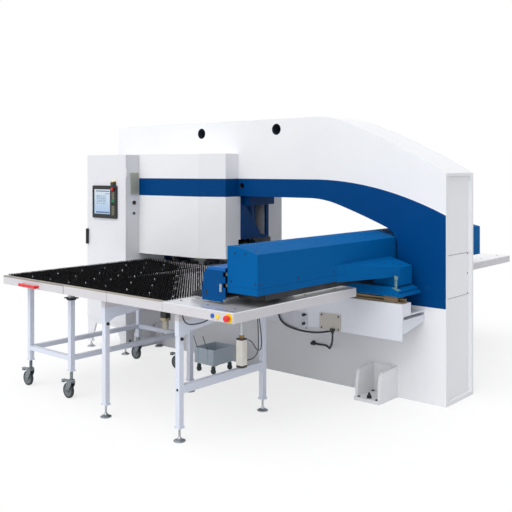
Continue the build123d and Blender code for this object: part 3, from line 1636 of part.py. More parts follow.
# Cords: straight runs joined by arcs that are as large as the runs allow
def cord(points, radius):
    places = [Vector(*point) for point in points]
    radii = []
    for before, here, after in zip(places, places[1:], places[2:]):
        turn = math.radians((here - before).get_angle(after - here))
        shorter = min((here - before).length, (after - here).length)
        radii.append(0.45 * shorter / math.tan(turn / 2))
    with BuildPart() as tube:
        with BuildLine() as route:
            FilletPolyline(*places, radius=radii)
        with BuildSketch(Plane(origin=route.line @ 0, z_dir=route.line % 0)) as section:
            Circle(radius)
        sweep(section.sketch, path=route.wires()[0])
    solid_length = tube.part.volume / (math.pi * radius * radius)
    route_length = sum(edge.length for edge in route.line.edges())
    print("cord length", round(route_length, 1), "from volume", round(solid_length, 1))
    print("radii", [round(value, 1) for value in radii])
    return tube


upper_conduit = cord(
    [
        (624, 955, 668),
        (624, 955, 618),
        (625, 978, 572),
        (626, 1022, 541),
        (626, 1085, 522),
        (625, 1160, 512),
        (618, 1238, 506),
        (598, 1312, 504),
        (558, 1376, 508),
        (498, 1424, 518),
        (425, 1452, 532),
        (352, 1462, 544),
        (283, 1462, 544),
    ],
    conduit_radius,
)
upper_conduit.part.label = "upper_conduit"
export_step(upper_conduit.part, "parts/upper_conduit.step")

lower_conduit = cord(
    [
        (624, 1517, 530),
        (624, 1517, 476),
        (606, 1492, 424),
        (556, 1440, 384),
        (470, 1375, 364),
        (375, 1290, 350),
        (300, 1205, 334),
        (267, 1135, 321),
        (267, 1080, 321),
    ],
    conduit_radius,
)
lower_conduit.part.label = "lower_conduit"
export_step(lower_conduit.part, "parts/lower_conduit.step")

upper_hose = cord(
    [
        (1412, 1282, 573),
        (1388, 1282, 573),
        (1363, 1286, 559),
        (1348, 1297, 535),
        (1346, 1316, 507),
        (1349, 1344, 497),
        (1359, 1372, 503),
        (1370, 1391, 523),
        (1375, 1400, 551),
        (1376, 1400, 594),
        (1374, 1392, 650),
        (1368, 1376, 718),
        (1362, 1358, 785),
        (1358, 1350, 846),
        (1358, 1350, 906),
    ],
    hose_radius,
)
upper_hose.part.label = "upper_hose"
export_step(upper_hose.part, "parts/upper_hose.step")

lower_hose = cord(
    [
        (1412, 1282, 421),
        (1384, 1282, 421),
        (1354, 1285, 422),
        (1326, 1290, 432),
        (1306, 1296, 454),
        (1296, 1301, 486),
        (1298, 1306, 530),
        (1306, 1311, 590),
        (1316, 1316, 660),
        (1326, 1321, 735),
        (1332, 1325, 790),
        (1334, 1326, 850),
        (1334, 1326, 906),
    ],
    hose_radius,
)
lower_hose.part.label = "lower_hose"
export_step(lower_hose.part, "parts/lower_hose.step")

table_cable = cord(
    [
        (2122, 1330, 906),
        (2122, 1330, 872),
        (2113, 1331, 838),
        (2092, 1332, 811),
        (2060, 1333, 796),
        (2018, 1334, 791),
        (1968, 1334, 789),
        (1916, 1333, 792),
        (1872, 1332, 801),
        (1837, 1331, 818),
        (1813, 1331, 843),
        (1803, 1330, 874),
        (1803, 1330, 906),
    ],
    cable_radius,
)
table_cable.part.label = "table_cable"
export_step(table_cable.part, "parts/table_cable.step")
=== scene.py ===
import math

import bmesh
import bpy
from mathutils import Matrix, Vector


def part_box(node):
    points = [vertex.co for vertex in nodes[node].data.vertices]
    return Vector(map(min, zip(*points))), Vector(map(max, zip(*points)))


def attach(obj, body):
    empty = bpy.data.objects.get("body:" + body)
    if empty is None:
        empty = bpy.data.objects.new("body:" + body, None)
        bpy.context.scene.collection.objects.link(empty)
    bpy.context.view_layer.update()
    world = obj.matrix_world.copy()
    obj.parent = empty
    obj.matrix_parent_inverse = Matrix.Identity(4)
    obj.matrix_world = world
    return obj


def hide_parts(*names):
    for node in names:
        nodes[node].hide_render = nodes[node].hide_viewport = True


# CNC turret punch press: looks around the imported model.
# Metres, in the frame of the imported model: +X to the operator's side, +Y to the rear column, +Z up.

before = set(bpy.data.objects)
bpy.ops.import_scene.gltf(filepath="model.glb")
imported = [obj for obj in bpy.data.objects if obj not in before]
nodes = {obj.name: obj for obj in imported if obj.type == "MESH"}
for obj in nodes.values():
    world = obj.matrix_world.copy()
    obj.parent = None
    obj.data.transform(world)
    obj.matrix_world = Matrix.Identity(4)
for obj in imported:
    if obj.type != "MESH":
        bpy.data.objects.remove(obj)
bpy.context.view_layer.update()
print("stage: frame loaded with", len(nodes), "nodes")


# small helpers for node trees

def tone(red, green, blue):
    # a colour written as 0 to 255, as the scene's own linear colour
    def linear(part):
        part = part / 255
        return part / 12.92 if part <= 0.04045 else ((part + 0.055) / 1.055) ** 2.4
    return (linear(red), linear(green), linear(blue), 1.0)


def feed(tree, socket, value):
    # links a socket, or writes a plain value into it
    if isinstance(value, bpy.types.NodeSocket):
        tree.links.new(value, socket)
    else:
        socket.default_value = value


def add(tree, kind, inputs=None, **settings):
    node = tree.nodes.new(kind)
    for name, value in settings.items():
        setattr(node, name, value)
    for name, value in (inputs or {}).items():
        feed(tree, node.inputs[name], value)
    return node


def calc(tree, operation, first, second=0.0, clamp=False):
    node = add(tree, "ShaderNodeMath", {0: first, 1: second}, operation=operation, use_clamp=clamp)
    return node.outputs[0]


def times(tree, first, second, clamp=False):
    return calc(tree, "MULTIPLY", first, second, clamp)


def minus(tree, first, second):
    return calc(tree, "SUBTRACT", first, second)


def vectorCalc(tree, operation, first, second=(0, 0, 0)):
    node = add(tree, "ShaderNodeVectorMath", {0: first, 1: second}, operation=operation)
    return node.outputs["Value" if operation == "LENGTH" else "Vector"]


def noise(tree, vector, scale, detail=2.0):
    node = add(tree, "ShaderNodeTexNoise", {"Vector": vector, "Scale": scale, "Detail": detail})
    return node.outputs["Fac"]


def partsOf(tree, vector):
    return add(tree, "ShaderNodeSeparateXYZ", {0: vector}).outputs


def joined(tree, x, y, z):
    return add(tree, "ShaderNodeCombineXYZ", {0: x, 1: y, 2: z}).outputs[0]


def facingUp(tree):
    # 1 where the surface faces up, -1 where it faces down
    return partsOf(tree, add(tree, "ShaderNodeNewGeometry").outputs["Normal"])[2]


def remap(tree, value, low, high, toLow=0.0, toHigh=1.0):
    node = add(tree, "ShaderNodeMapRange", {
        "Value": value, "From Min": low, "From Max": high, "To Min": toLow, "To Max": toHigh,
    }, interpolation_type="SMOOTHSTEP")
    return node.outputs["Result"]


def blend(tree, factor, first, second):
    # colour mix: factor 0 gives the first, 1 the second
    node = add(tree, "ShaderNodeMix", data_type="RGBA")
    for number, value in ((0, factor), (6, first), (7, second)):
        feed(tree, node.inputs[number], value)
    return node.outputs[2]


def typeOf(value):
    if isinstance(value, tuple):
        return "Color" if len(value) == 4 else "Vector"
    return "Int" if isinstance(value, int) else "Float"


def startGroup(name, inputs, outputs, kind="ShaderNodeTree"):
    # inputs: each with its value, or with the name of its type where nothing is set
    tree = bpy.data.node_groups.new(name, kind)
    for label, value in inputs.items():
        unset = isinstance(value, str)
        socketType = "NodeSocket" + (value if unset else typeOf(value))
        socket = tree.interface.new_socket(label, in_out="INPUT", socket_type=socketType)
        if not unset:
            socket.default_value = value
    for label, socketType in outputs.items():
        tree.interface.new_socket(label, in_out="OUTPUT", socket_type="NodeSocket" + socketType)
    return tree, tree.nodes.new("NodeGroupInput").outputs, tree.nodes.new("NodeGroupOutput").inputs


def place(tree, group, values):
    node = add(tree, "ShaderNodeGroup", node_tree=group)
    for name, value in values.items():
        feed(tree, node.inputs[name], value)
    return node.outputs


def show(item):
    bpy.context.scene.collection.objects.link(item)


# shared effects

def makeBoxMask():
    # 1 inside a box given by its lowest and highest corner
    tree, given, result = startGroup(
        "boxMask", {"Vector": "Vector", "Low": (0, 0, 0), "High": (1, 1, 1)}, {"Mask": "Float"})
    above = vectorCalc(tree, "SUBTRACT", given["Vector"], given["Low"])
    below = vectorCalc(tree, "SUBTRACT", given["High"], given["Vector"])
    parts = partsOf(tree, vectorCalc(tree, "MINIMUM", above, below))
    lowest = calc(tree, "MINIMUM", calc(tree, "MINIMUM", parts[0], parts[1]), parts[2])
    feed(tree, result["Mask"], calc(tree, "GREATER_THAN", lowest, 0.0))
    return tree


def makeRadiusFrom():
    # distance from an axis: Across is 1 for the two directions that count
    tree, given, result = startGroup(
        "radiusFrom", {"Vector": "Vector", "Centre": (0, 0, 0), "Across": (0, 1, 1)}, {"Radius": "Float"})
    offset = vectorCalc(tree, "SUBTRACT", given["Vector"], given["Centre"])
    flat = vectorCalc(tree, "MULTIPLY", offset, given["Across"])
    feed(tree, result["Radius"], vectorCalc(tree, "LENGTH", flat))
    return tree


def makePaintSurface():
    # sprayed paint: faint mottle, orange peel, dust low down and on what faces up
    tree, given, result = startGroup(
        "paintSurface",
        {"Vector": "Vector", "Paint": (0.8, 0.8, 0.8, 1), "DustTone": tone(176, 170, 160), "Mottle": 0.03,
         "CloudScale": 2.3, "GritScale": 9.0, "PeelScale": 420.0, "Dust": 0.3, "DustTop": 0.5,
         "DustLying": 0.4, "DustDull": 0.4, "Gloss": 0.35, "Uneven": 0.16},
        {"Color": "Color", "Roughness": "Float", "Height": "Float"},
    )
    cloud = minus(tree, noise(tree, given["Vector"], given["CloudScale"], 4.0), 0.5)
    swing = times(tree, cloud, times(tree, given["Mottle"], 4.0))
    painted = add(tree, "ShaderNodeHueSaturation", {
        "Color": given["Paint"], "Value": calc(tree, "ADD", 1.0, swing),
    })
    low = remap(tree, partsOf(tree, given["Vector"])[2], 0.0, given["DustTop"], 1.0, 0.0)
    lying = remap(tree, facingUp(tree), 0.8, 1.0, 0.0, given["DustLying"])
    grit = noise(tree, given["Vector"], given["GritScale"], 5.0)
    settled = times(tree, calc(tree, "ADD", low, lying), remap(tree, grit, 0.2, 0.9))
    dust = times(tree, settled, given["Dust"], clamp=True)
    feed(tree, result["Color"], blend(tree, dust, painted.outputs[0], given["DustTone"]))
    dulled = calc(tree, "ADD", given["Gloss"], times(tree, dust, given["DustDull"]))
    uneven = times(tree, minus(tree, grit, 0.5), given["Uneven"])
    feed(tree, result["Roughness"], calc(tree, "ADD", dulled, uneven, clamp=True))
    feed(tree, result["Height"], noise(tree, given["Vector"], given["PeelScale"]))
    return tree


def makeMachinedGrain():
    # fine lines left by a tool, stretched along one direction
    tree, given, result = startGroup(
        "machinedGrain",
        {"Vector": "Vector", "Stretch": (1, 30, 30), "Scale": 22.0, "StainScale": 6.0, "Uneven": 0.35,
         "Gloss": 0.3, "Bright": (0.6, 0.6, 0.6, 1), "Dull": (0.4, 0.4, 0.4, 1)},
        {"Color": "Color", "Roughness": "Float", "Height": "Float"},
    )
    drawn = vectorCalc(tree, "MULTIPLY", given["Vector"], given["Stretch"])
    lines = noise(tree, drawn, given["Scale"], 5.0)
    stain = noise(tree, given["Vector"], given["StainScale"], 4.0)
    mixed = times(tree, lines, remap(tree, stain, 0.3, 0.7, 0.7, 1.25))
    feed(tree, result["Color"], blend(tree, remap(tree, mixed, 0.25, 0.75), given["Dull"], given["Bright"]))
    swing = times(tree, minus(tree, stain, 0.5), given["Uneven"])
    feed(tree, result["Roughness"], calc(tree, "ADD", given["Gloss"], swing, clamp=True))
    feed(tree, result["Height"], lines)
    return tree


def makeScuffs():
    # short rubbed marks in patches
    tree, given, result = startGroup(
        "scuffs",
        {"Vector": "Vector", "Stretch": (1, 1, 9), "Scale": 9.0, "PatchScale": 1.7, "Amount": 0.5},
        {"Mask": "Float"},
    )
    drawn = vectorCalc(tree, "MULTIPLY", given["Vector"], given["Stretch"])
    marks = remap(tree, noise(tree, drawn, given["Scale"], 8.0), 0.6, 0.7)
    patches = remap(tree, noise(tree, given["Vector"], given["PatchScale"]), 0.45, 0.65)
    rubbed = times(tree, marks, patches)
    feed(tree, result["Mask"], times(tree, rubbed, given["Amount"], clamp=True))
    return tree


def makeBandMask():
    # the blue band: flat over the throat, then an arc down to the rear edge, and the column below it
    tree, given, result = startGroup(
        "bandMask",
        {"Vector": "Vector", "Top": 1.767, "FlatEnd": 1.05, "ArcRadius": 3.1, "Bottom": 0.765,
         "BandLow": 1.595, "Front": -0.895, "BayRear": 0.152, "Rear": 2.321},
        {"Mask": "Float"},
    )
    parts = partsOf(tree, given["Vector"])
    along, height = parts[1], parts[2]
    past = calc(tree, "MAXIMUM", minus(tree, along, given["FlatEnd"]), 0.0)
    square = minus(tree, times(tree, given["ArcRadius"], given["ArcRadius"]), times(tree, past, past))
    drop = minus(tree, given["ArcRadius"], calc(tree, "SQRT", square))
    under = calc(tree, "LESS_THAN", height, minus(tree, given["Top"], drop))
    over = calc(tree, "GREATER_THAN", height, given["Bottom"])
    behind = calc(tree, "GREATER_THAN", along, given["Front"])
    ahead = calc(tree, "LESS_THAN", along, given["Rear"])
    throat = calc(tree, "GREATER_THAN", along, given["BayRear"])
    band = calc(tree, "MAXIMUM", throat, calc(tree, "GREATER_THAN", height, given["BandLow"]))
    for limit in (under, over, behind, ahead):
        band = times(tree, band, limit)
    feed(tree, result["Mask"], band)
    return tree


boxMask = makeBoxMask()
radiusFrom = makeRadiusFrom()
paintSurface = makePaintSurface()
machinedGrain = makeMachinedGrain()
scuffs = makeScuffs()
bandMask = makeBandMask()
print("stage: shared effects made")


# masks and zones

def inBox(tree, spot, low, high):
    return place(tree, boxMask, {"Vector": spot, "Low": low, "High": high})["Mask"]


def fromAxis(tree, spot, centre, across=(0, 1, 1)):
    return place(tree, radiusFrom, {"Vector": spot, "Centre": centre, "Across": across})["Radius"]


def anyOf(tree, masks):
    total = masks[0]
    for mask in masks[1:]:
        total = calc(tree, "MAXIMUM", total, mask)
    return total


def inBoxes(tree, spot, boxes):
    # each box by its lowest and highest corner
    return anyOf(tree, [inBox(tree, spot, low, high) for low, high in boxes])


def paintZones(tree, spot, painted, zones):
    # each zone: its colour, then the boxes it fills
    for colour, *boxes in zones:
        painted = blend(tree, inBoxes(tree, spot, boxes), painted, colour)
    return painted


paints = {
    "white": tone(240, 241, 243),
    "blue": tone(0, 66, 126),
    "table": tone(211, 209, 212),
    "seam": tone(120, 120, 124),
    "yellow": tone(250, 214, 20),
}

frameLook = {
    "band": {"Top": 1.767, "FlatEnd": 1.05, "ArcRadius": 3.1, "Bottom": 0.765, "BandLow": 1.595},
    "recess": ((-0.2418, 2.27, 0.0), (0.2418, 2.4, 2.5)),  # rear end between the side plates, white
    "throat": ((-0.3, -0.975, 0.735), (0.3, 1.93, 1.63)),  # cross plates that are blue
    "holes": [((0.0, -0.344, 2.213), 0.0515), ((0.0, 0.622, 2.225), 0.0515), ((0.0, 0.196, 1.700), 0.0285)],
    # painted shade for the inside of the holes
    "holeShade": tone(58, 66, 80),
}


def holeShadeOver(tree, spot, painted):
    # painted shade over the walls of the holes through the frame
    holes = [calc(tree, "LESS_THAN", fromAxis(tree, spot, centre), radius)
             for centre, radius in frameLook["holes"]]
    return blend(tree, anyOf(tree, holes), painted, frameLook["holeShade"])


def frameColour(tree, spot):
    band = place(tree, bandMask, {"Vector": spot, **frameLook["band"]})["Mask"]
    band = times(tree, band, minus(tree, 1.0, inBox(tree, spot, *frameLook["recess"])))
    return holeShadeOver(tree, spot, blend(tree, band, paints["white"], paints["blue"]))


def throatColour(tree, spot):
    # the plates inside the frame are blue where they line the throat and the turret bay
    painted = paintZones(tree, spot, paints["white"], [(paints["blue"], frameLook["throat"])])
    return holeShadeOver(tree, spot, painted)


serviceLook = {"edges": (0.8296, 1.1705), "edge": 0.0035, "screwX": 0.188, "screwZ": (0.840, 1.002, 1.164),
               "screwRadius": 0.0058, "screwTone": tone(16, 18, 22)}


def serviceColour(tree, spot):
    # shadow lines round the rear panel, and its dark screws
    look = serviceLook
    edges = [((-0.3, 2.2, low), (0.3, 2.4, low + look["edge"])) for low in look["edges"]]
    painted = paintZones(tree, spot, paints["white"], [(paints["seam"], *edges)])
    screws = [calc(tree, "LESS_THAN", fromAxis(tree, spot, (x, 0.0, z), (1, 0, 1)), look["screwRadius"])
              for x in (look["screwX"], -look["screwX"]) for z in look["screwZ"]]
    return blend(tree, anyOf(tree, screws), painted, look["screwTone"])


beamLook = {
    "paint": tone(0, 92, 156),
    "joint": [(tone(0, 60, 110), ((-1.4, 1.5, 1.0770), (2.0, 1.9, 1.0790)))],  # shut joint round the shell
    "undersideShade": tone(34, 36, 44), "facing": -0.7,  # below this facing the underside is drawn in painted shade
    "steelParts": [  # bearing blocks, rails, oilers
        (tone(132, 114, 92), ((-0.7, 1.3, 0.8), (0.7, 2.2, 0.8828))),
        (tone(120, 124, 130), ((-1.4, 1.5, 1.03), (2.0, 1.6055, 1.2))),
        (tone(112, 146, 150), ((0.55, 2.05, 0.9062), (0.602, 2.1, 1.04)),
         ((-0.602, 2.05, 0.9062), (-0.55, 2.1, 1.04)))],
}


def beamColour(tree, spot):
    painted = paintZones(tree, spot, beamLook["paint"], beamLook["joint"])
    # painted shade: what faces down is drawn dark, as a shaded underside
    below = calc(tree, "LESS_THAN", facingUp(tree), beamLook["facing"])
    painted = blend(tree, below, painted, beamLook["undersideShade"])
    return paintZones(tree, spot, painted, beamLook["steelParts"])


wheelLook = {"tyreFrom": 0.047, "hubTo": 0.018, "rim": tone(108, 114, 118), "tyre": tone(46, 52, 54),
             "hub": tone(150, 156, 160)}


def wheelColour(centre):
    def colour(tree, spot):
        radius = fromAxis(tree, spot, centre)
        rim = blend(tree, calc(tree, "GREATER_THAN", radius, wheelLook["tyreFrom"]),
                    wheelLook["rim"], wheelLook["tyre"])
        return blend(tree, calc(tree, "LESS_THAN", radius, wheelLook["hubTo"]), rim, wheelLook["hub"])
    return colour


# materials

def newMaterial(name, metallic=0.0, coat=0.0, specular=0.5):
    material = bpy.data.materials.new(name)
    material.use_nodes = True
    tree = material.node_tree
    surface = tree.nodes["Principled BSDF"]
    for socket, value in (("Metallic", metallic), ("Coat Weight", coat), ("Coat Roughness", 0.12),
                          ("Specular IOR Level", specular)):
        surface.inputs[socket].default_value = value
    spot = add(tree, "ShaderNodeTexCoord").outputs["Object"]
    return material, tree, surface, spot


def dress(tree, surface, colour, roughness, height, distance, strength):
    # what changes over the surface: colour, roughness and a fine relief
    bump = add(tree, "ShaderNodeBump", {"Height": height, "Distance": distance, "Strength": strength})
    for socket, value in (("Base Color", colour), ("Roughness", roughness), ("Normal", bump.outputs[0])):
        feed(tree, surface.inputs[socket], value)


def coloured(tree, spot, look, plain):
    # the plain colour, or what the look's own function makes, with the look's zones over it
    if "colour" in look:
        plain = look["colour"](tree, spot)
    return paintZones(tree, spot, plain, look.get("zones", []))


def paintMaterial(name, look):
    material, tree, surface, spot = newMaterial(name, look.get("metallic", 0.0), look.get("coat", 0.0),
                                                look.get("specular", 0.22))
    coat = place(tree, paintSurface, {
        "Vector": spot, "Paint": coloured(tree, spot, look, look.get("paint")),
        "Mottle": look.get("mottle", 0.02), "Dust": look.get("dust", 0.08), "Gloss": look.get("gloss", 0.36),
    })
    worn = place(tree, scuffs, {"Vector": spot, "Amount": look.get("scuffs", 0.06)})["Mask"]
    finished = blend(tree, worn, coat["Color"], look.get("worn", tone(150, 150, 150)))
    dress(tree, surface, finished, coat["Roughness"], coat["Height"], look.get("peel", 0.0004), 0.25)
    return material


def metalMaterial(name, look):
    material, tree, surface, spot = newMaterial(name, look.get("metallic", 1.0))
    grain = place(tree, machinedGrain, {
        "Vector": spot, "Stretch": look.get("stretch", (1, 30, 30)), "Bright": look["bright"],
        "Dull": look["dull"], "Gloss": look.get("gloss", 0.3),
    })
    painted = coloured(tree, spot, look, grain["Color"])
    dress(tree, surface, painted, grain["Roughness"], grain["Height"], 0.0003, 0.4)
    return material


def plasticMaterial(name, look):
    # moulded plastic, rubber and fibre: faint colour drift and a fine skin
    material, tree, surface, spot = newMaterial(name, 0.0, look.get("coat", 0.0), look.get("specular", 0.4))
    drift = noise(tree, spot, look.get("drift", 14.0), 4.0)
    mottle, gloss = look.get("mottle", 0.08), look.get("gloss", 0.45)
    shifted = add(tree, "ShaderNodeHueSaturation", {
        "Color": coloured(tree, spot, look, look.get("paint")),
        "Value": remap(tree, drift, 0.3, 0.7, 1 - mottle, 1 + mottle),
    })
    roughness = remap(tree, drift, 0.3, 0.7, gloss - 0.06, gloss + 0.08)
    dress(tree, surface, shifted.outputs[0], roughness, noise(tree, spot, look.get("skinScale", 900.0)),
          0.0003, 0.3)
    return material


panelLook = {
    "housing": tone(22, 22, 26), "glass": tone(14, 20, 28), "glow": 0.9,
    "keys": [((0.778, -1.097, 1.551), (0.9, -1.051, 1.623)), ((0.778, -1.097, 1.390), (0.9, -1.051, 1.485))],
    "keyCells": {"Color1": tone(150, 144, 116), "Color2": tone(120, 118, 98), "Mortar": tone(30, 30, 30),
                 "Mortar Size": 0.0022, "Brick Width": 0.0152, "Row Height": 0.0155},
    "startKey": [(tone(10, 120, 74), ((0.778, -1.097, 1.521), (0.9, -1.051, 1.549)))],
    "screen": ((0.7, -1.377, 1.399), (0.9, -1.125, 1.651)),
    "field": {"from": 1.40, "to": 1.64, "low": tone(176, 204, 236), "high": tone(216, 228, 240)},
    "bars": [(tone(70, 92, 132), ((0.7, -1.352, 1.628), (0.9, -1.135, 1.638))),
             (tone(110, 170, 226), ((0.7, -1.205, 1.602), (0.9, -1.135, 1.611))),
             (tone(96, 120, 160), ((0.7, -1.352, 1.408), (0.9, -1.132, 1.424)))],
    "table": ((0.7, -1.345, 1.50), (0.9, -1.19, 1.59)),
    "tableCells": {"Color1": tone(206, 222, 236), "Color2": tone(178, 200, 222),
                   "Mortar": tone(120, 150, 184), "Mortar Size": 0.0016, "Brick Width": 0.034,
                   "Row Height": 0.0162},
}


def cells(tree, spot, look):
    # rows of cells over the panel's upright face
    parts = partsOf(tree, spot)
    values = {"Vector": joined(tree, parts[1], parts[2], 0.0), "Scale": 1.0, **look}
    return add(tree, "ShaderNodeTexBrick", values, offset=0.0).outputs["Color"]


def panelMaterial(name, look):
    # black housing with a column of plain keys; a softly lit screen with bars and cells, no lettering
    material, tree, surface, spot = newMaterial(name, 0.0, 0.2, 0.3)
    keys = cells(tree, spot, look["keyCells"])
    housing = blend(tree, inBoxes(tree, spot, look["keys"]), look["housing"], keys)
    housing = paintZones(tree, spot, housing, look["startKey"])
    field = look["field"]
    rise = remap(tree, partsOf(tree, spot)[2], field["from"], field["to"])
    face = paintZones(tree, spot, blend(tree, rise, field["low"], field["high"]), look["bars"])
    face = blend(tree, inBox(tree, spot, *look["table"]), face, cells(tree, spot, look["tableCells"]))
    screen = inBox(tree, spot, *look["screen"])
    drift = noise(tree, spot, 30.0, 3.0)
    shifted = add(tree, "ShaderNodeHueSaturation", {
        "Color": blend(tree, screen, housing, look["glass"]),
        "Value": remap(tree, drift, 0.3, 0.7, 0.96, 1.04),
    })
    feed(tree, surface.inputs["Emission Color"], blend(tree, screen, (0.0, 0.0, 0.0, 1.0), face))
    surface.inputs["Emission Strength"].default_value = look["glow"]
    dress(tree, surface, shifted.outputs[0], remap(tree, drift, 0.3, 0.7, 0.28, 0.4),
          noise(tree, spot, 900.0), 0.0002, 0.2)
    return material


paintLooks = {
    "framePaint": {"colour": frameColour, "gloss": 0.38, "specular": 0.05, "dust": 0.05},
    "throatPaint": {"colour": throatColour, "specular": 0.1, "dust": 0.02},
    "plainWhite": {"paint": paints["white"], "dust": 0.12},
    "servicePaint": {"colour": serviceColour},
    "supportPaint": {"paint": tone(226, 229, 236), "dust": 0.1},
    "deepBlue": {"paint": paints["blue"], "gloss": 0.34, "specular": 0.12},
    "beamPaint": {"colour": beamColour, "gloss": 0.6, "mottle": 0.015, "dust": 0.0, "specular": 0.05,
                  "worn": tone(60, 130, 190)},
    "guardPaint": {"paint": tone(0, 72, 130), "gloss": 0.4, "dust": 0.0, "specular": 0.06, "zones": [
        (tone(30, 100, 170), ((1.1, 1.3, 1.176), (2.1, 1.7, 1.2)))]},  # painted highlight on the folded lip, where it catches the light
    "cabinetPaint": {"paint": tone(228, 229, 233), "gloss": 0.42, "peel": 0.0006, "zones": [
        (tone(84, 92, 104), ((0.63, -0.8918, 1.385), (0.69, -0.80, 1.445)))]},  # lock below the switch
    "tablePaint": {"paint": paints["table"], "gloss": 0.4, "dust": 0.06, "zones": [
        # butt joints of the apron's lengths, painted shade in the open joint to the front tray, bare edge
        # strips
        (paints["seam"], ((2.1, 0.5788, 0.8), (2.2, 0.5812, 0.9446)),
         ((2.1, 1.1788, 0.8), (2.2, 1.1812, 0.9446))),
        (tone(48, 44, 44), ((2.1, 0.0375, 0.8), (2.2, 0.0475, 0.9446))),
        (tone(166, 158, 146), ((2.1, -0.9, 0.9442), (2.2, 1.19, 0.96)),
         ((-2.2, -0.9, 0.9442), (-2.1, 1.19, 0.96)))]},
    "platePaint": {"paint": tone(236, 236, 240), "gloss": 0.22, "metallic": 0.5, "dust": 0.0, "scuffs": 0.12,
                   "worn": tone(168, 170, 176), "zones": [
        (tone(60, 58, 60), ((2.128, 1.65, 0.94), (2.1345, 1.822, 0.96)))]},  # painted shade in the slot by the buttons
    "legPaint": {"paint": tone(220, 225, 237), "gloss": 0.4, "dust": 0.1, "scuffs": 0.08, "zones": [
        # the cart's apron in the table's own paint, with a bare edge strip on top
        (paints["table"], ((-3.0, -3.0, 0.8209), (3.0, 3.0, 2.0))),
        (tone(150, 144, 136), ((2.1, -0.9, 0.9405), (2.2, 0.05, 0.96)))]},
    "binPaint": {"paint": tone(200, 214, 224), "gloss": 0.45, "dust": 0.2, "scuffs": 0.3, "zones": [
        (tone(96, 104, 112), ((0.69, 0.0, 0.227), (0.95, 0.4, 0.5))),  # rod handles
        (tone(40, 60, 62), ((0.3, -0.1, -0.1), (0.95, 0.5, 0.0795)))]},  # wheels
    "redPaint": {"paint": tone(222, 26, 34), "gloss": 0.28, "coat": 0.5, "worn": tone(240, 120, 120)},
}
metalLooks = {
    # turret steel kept dark: partly its own tone, partly painted shade for the dark space under the cover
    "turretSteel": {"bright": tone(130, 132, 136), "dull": tone(80, 82, 86), "stretch": (6, 6, 60),
                    "gloss": 0.32},
    "toolSteel": {"bright": tone(112, 114, 118), "dull": tone(58, 60, 64), "gloss": 0.38},
    "railSteel": {"bright": tone(176, 158, 128), "dull": tone(112, 96, 74), "stretch": (40, 1, 40),
                  "gloss": 0.34, "metallic": 0.8},
    "zincSteel": {"bright": tone(196, 200, 204), "dull": tone(140, 146, 150), "stretch": (8, 8, 8),
                  "gloss": 0.34},
    "forkSteel": {"bright": tone(136, 144, 150), "dull": tone(86, 94, 100), "stretch": (6, 6, 6),
                  "gloss": 0.4, "metallic": 0.6},
    "blackSteel": {"bright": tone(60, 62, 66), "dull": tone(26, 27, 30), "gloss": 0.42, "metallic": 0.7},
    "ballSteel": {"bright": tone(190, 192, 194), "dull": tone(120, 124, 128), "gloss": 0.14, "metallic": 0.6},
    "cylinderAlloy": {"bright": tone(240, 238, 228), "dull": tone(216, 212, 200), "stretch": (30, 30, 1),
                      "gloss": 0.42, "metallic": 0.12, "zones": [  # end caps, brass fitting
        (tone(66, 62, 56), ((1.4, 1.2, 0.380), (1.55, 1.35, 0.398)), ((1.4, 1.2, 0.586), (1.55, 1.35, 0.6))),
        (tone(168, 128, 66), ((1.4, 1.2, 0.6), (1.55, 1.35, 0.64)))]},
    "regulatorMetal": {"bright": tone(186, 182, 170), "dull": tone(128, 124, 112), "stretch": (30, 30, 2),
                       "metallic": 0.5, "zones": [  # head, collar
        (tone(44, 46, 46), ((2.0, 1.0, 0.836), (2.3, 1.4, 1.0))),
        (tone(150, 140, 112), ((2.0, 1.0, 0.812), (2.3, 1.4, 0.836)))]},
}
buttonLook = {"gloss": 0.25, "coat": 0.4, "mottle": 0.04}
plasticLooks = {
    "brushFibre": {"paint": tone(9, 9, 12), "gloss": 0.42, "mottle": 0.3, "drift": 40.0, "specular": 0.25},
    "vent": {"paint": tone(182, 186, 174)},
    "darkPlastic": {"paint": tone(48, 50, 54), "gloss": 0.4},
    "coverPlate": {"paint": tone(38, 42, 46), "gloss": 0.4, "mottle": 0.03, "zones": [
        (tone(208, 211, 217), ((0.5, 1.0, 0.5), (0.6145, 1.3, 0.7))),  # plate behind the knobs
        (tone(196, 190, 182), ((0.5, 1.35, 0.5), (0.6145, 1.62, 0.7))),
        (paints["yellow"], ((2.1, 1.74, 0.86), (2.3, 1.86, 0.96)))]},  # ring of the stop button
    "redPlastic": {**buttonLook, "paint": tone(226, 20, 22)},
    "bluePlastic": {**buttonLook, "paint": tone(20, 84, 176)},
    "yellowPlastic": {**buttonLook, "paint": paints["yellow"], "gloss": 0.28},
    "cordRubber": {"paint": tone(56, 60, 66), "mottle": 0.12, "skinScale": 260.0},
}

materials = {"operatorPanel": panelMaterial("operatorPanel", panelLook)}
for maker, looks in (
        (paintMaterial, paintLooks), (metalMaterial, metalLooks), (plasticMaterial, plasticLooks)):
    for name, look in looks.items():
        materials[name] = maker(name, look)

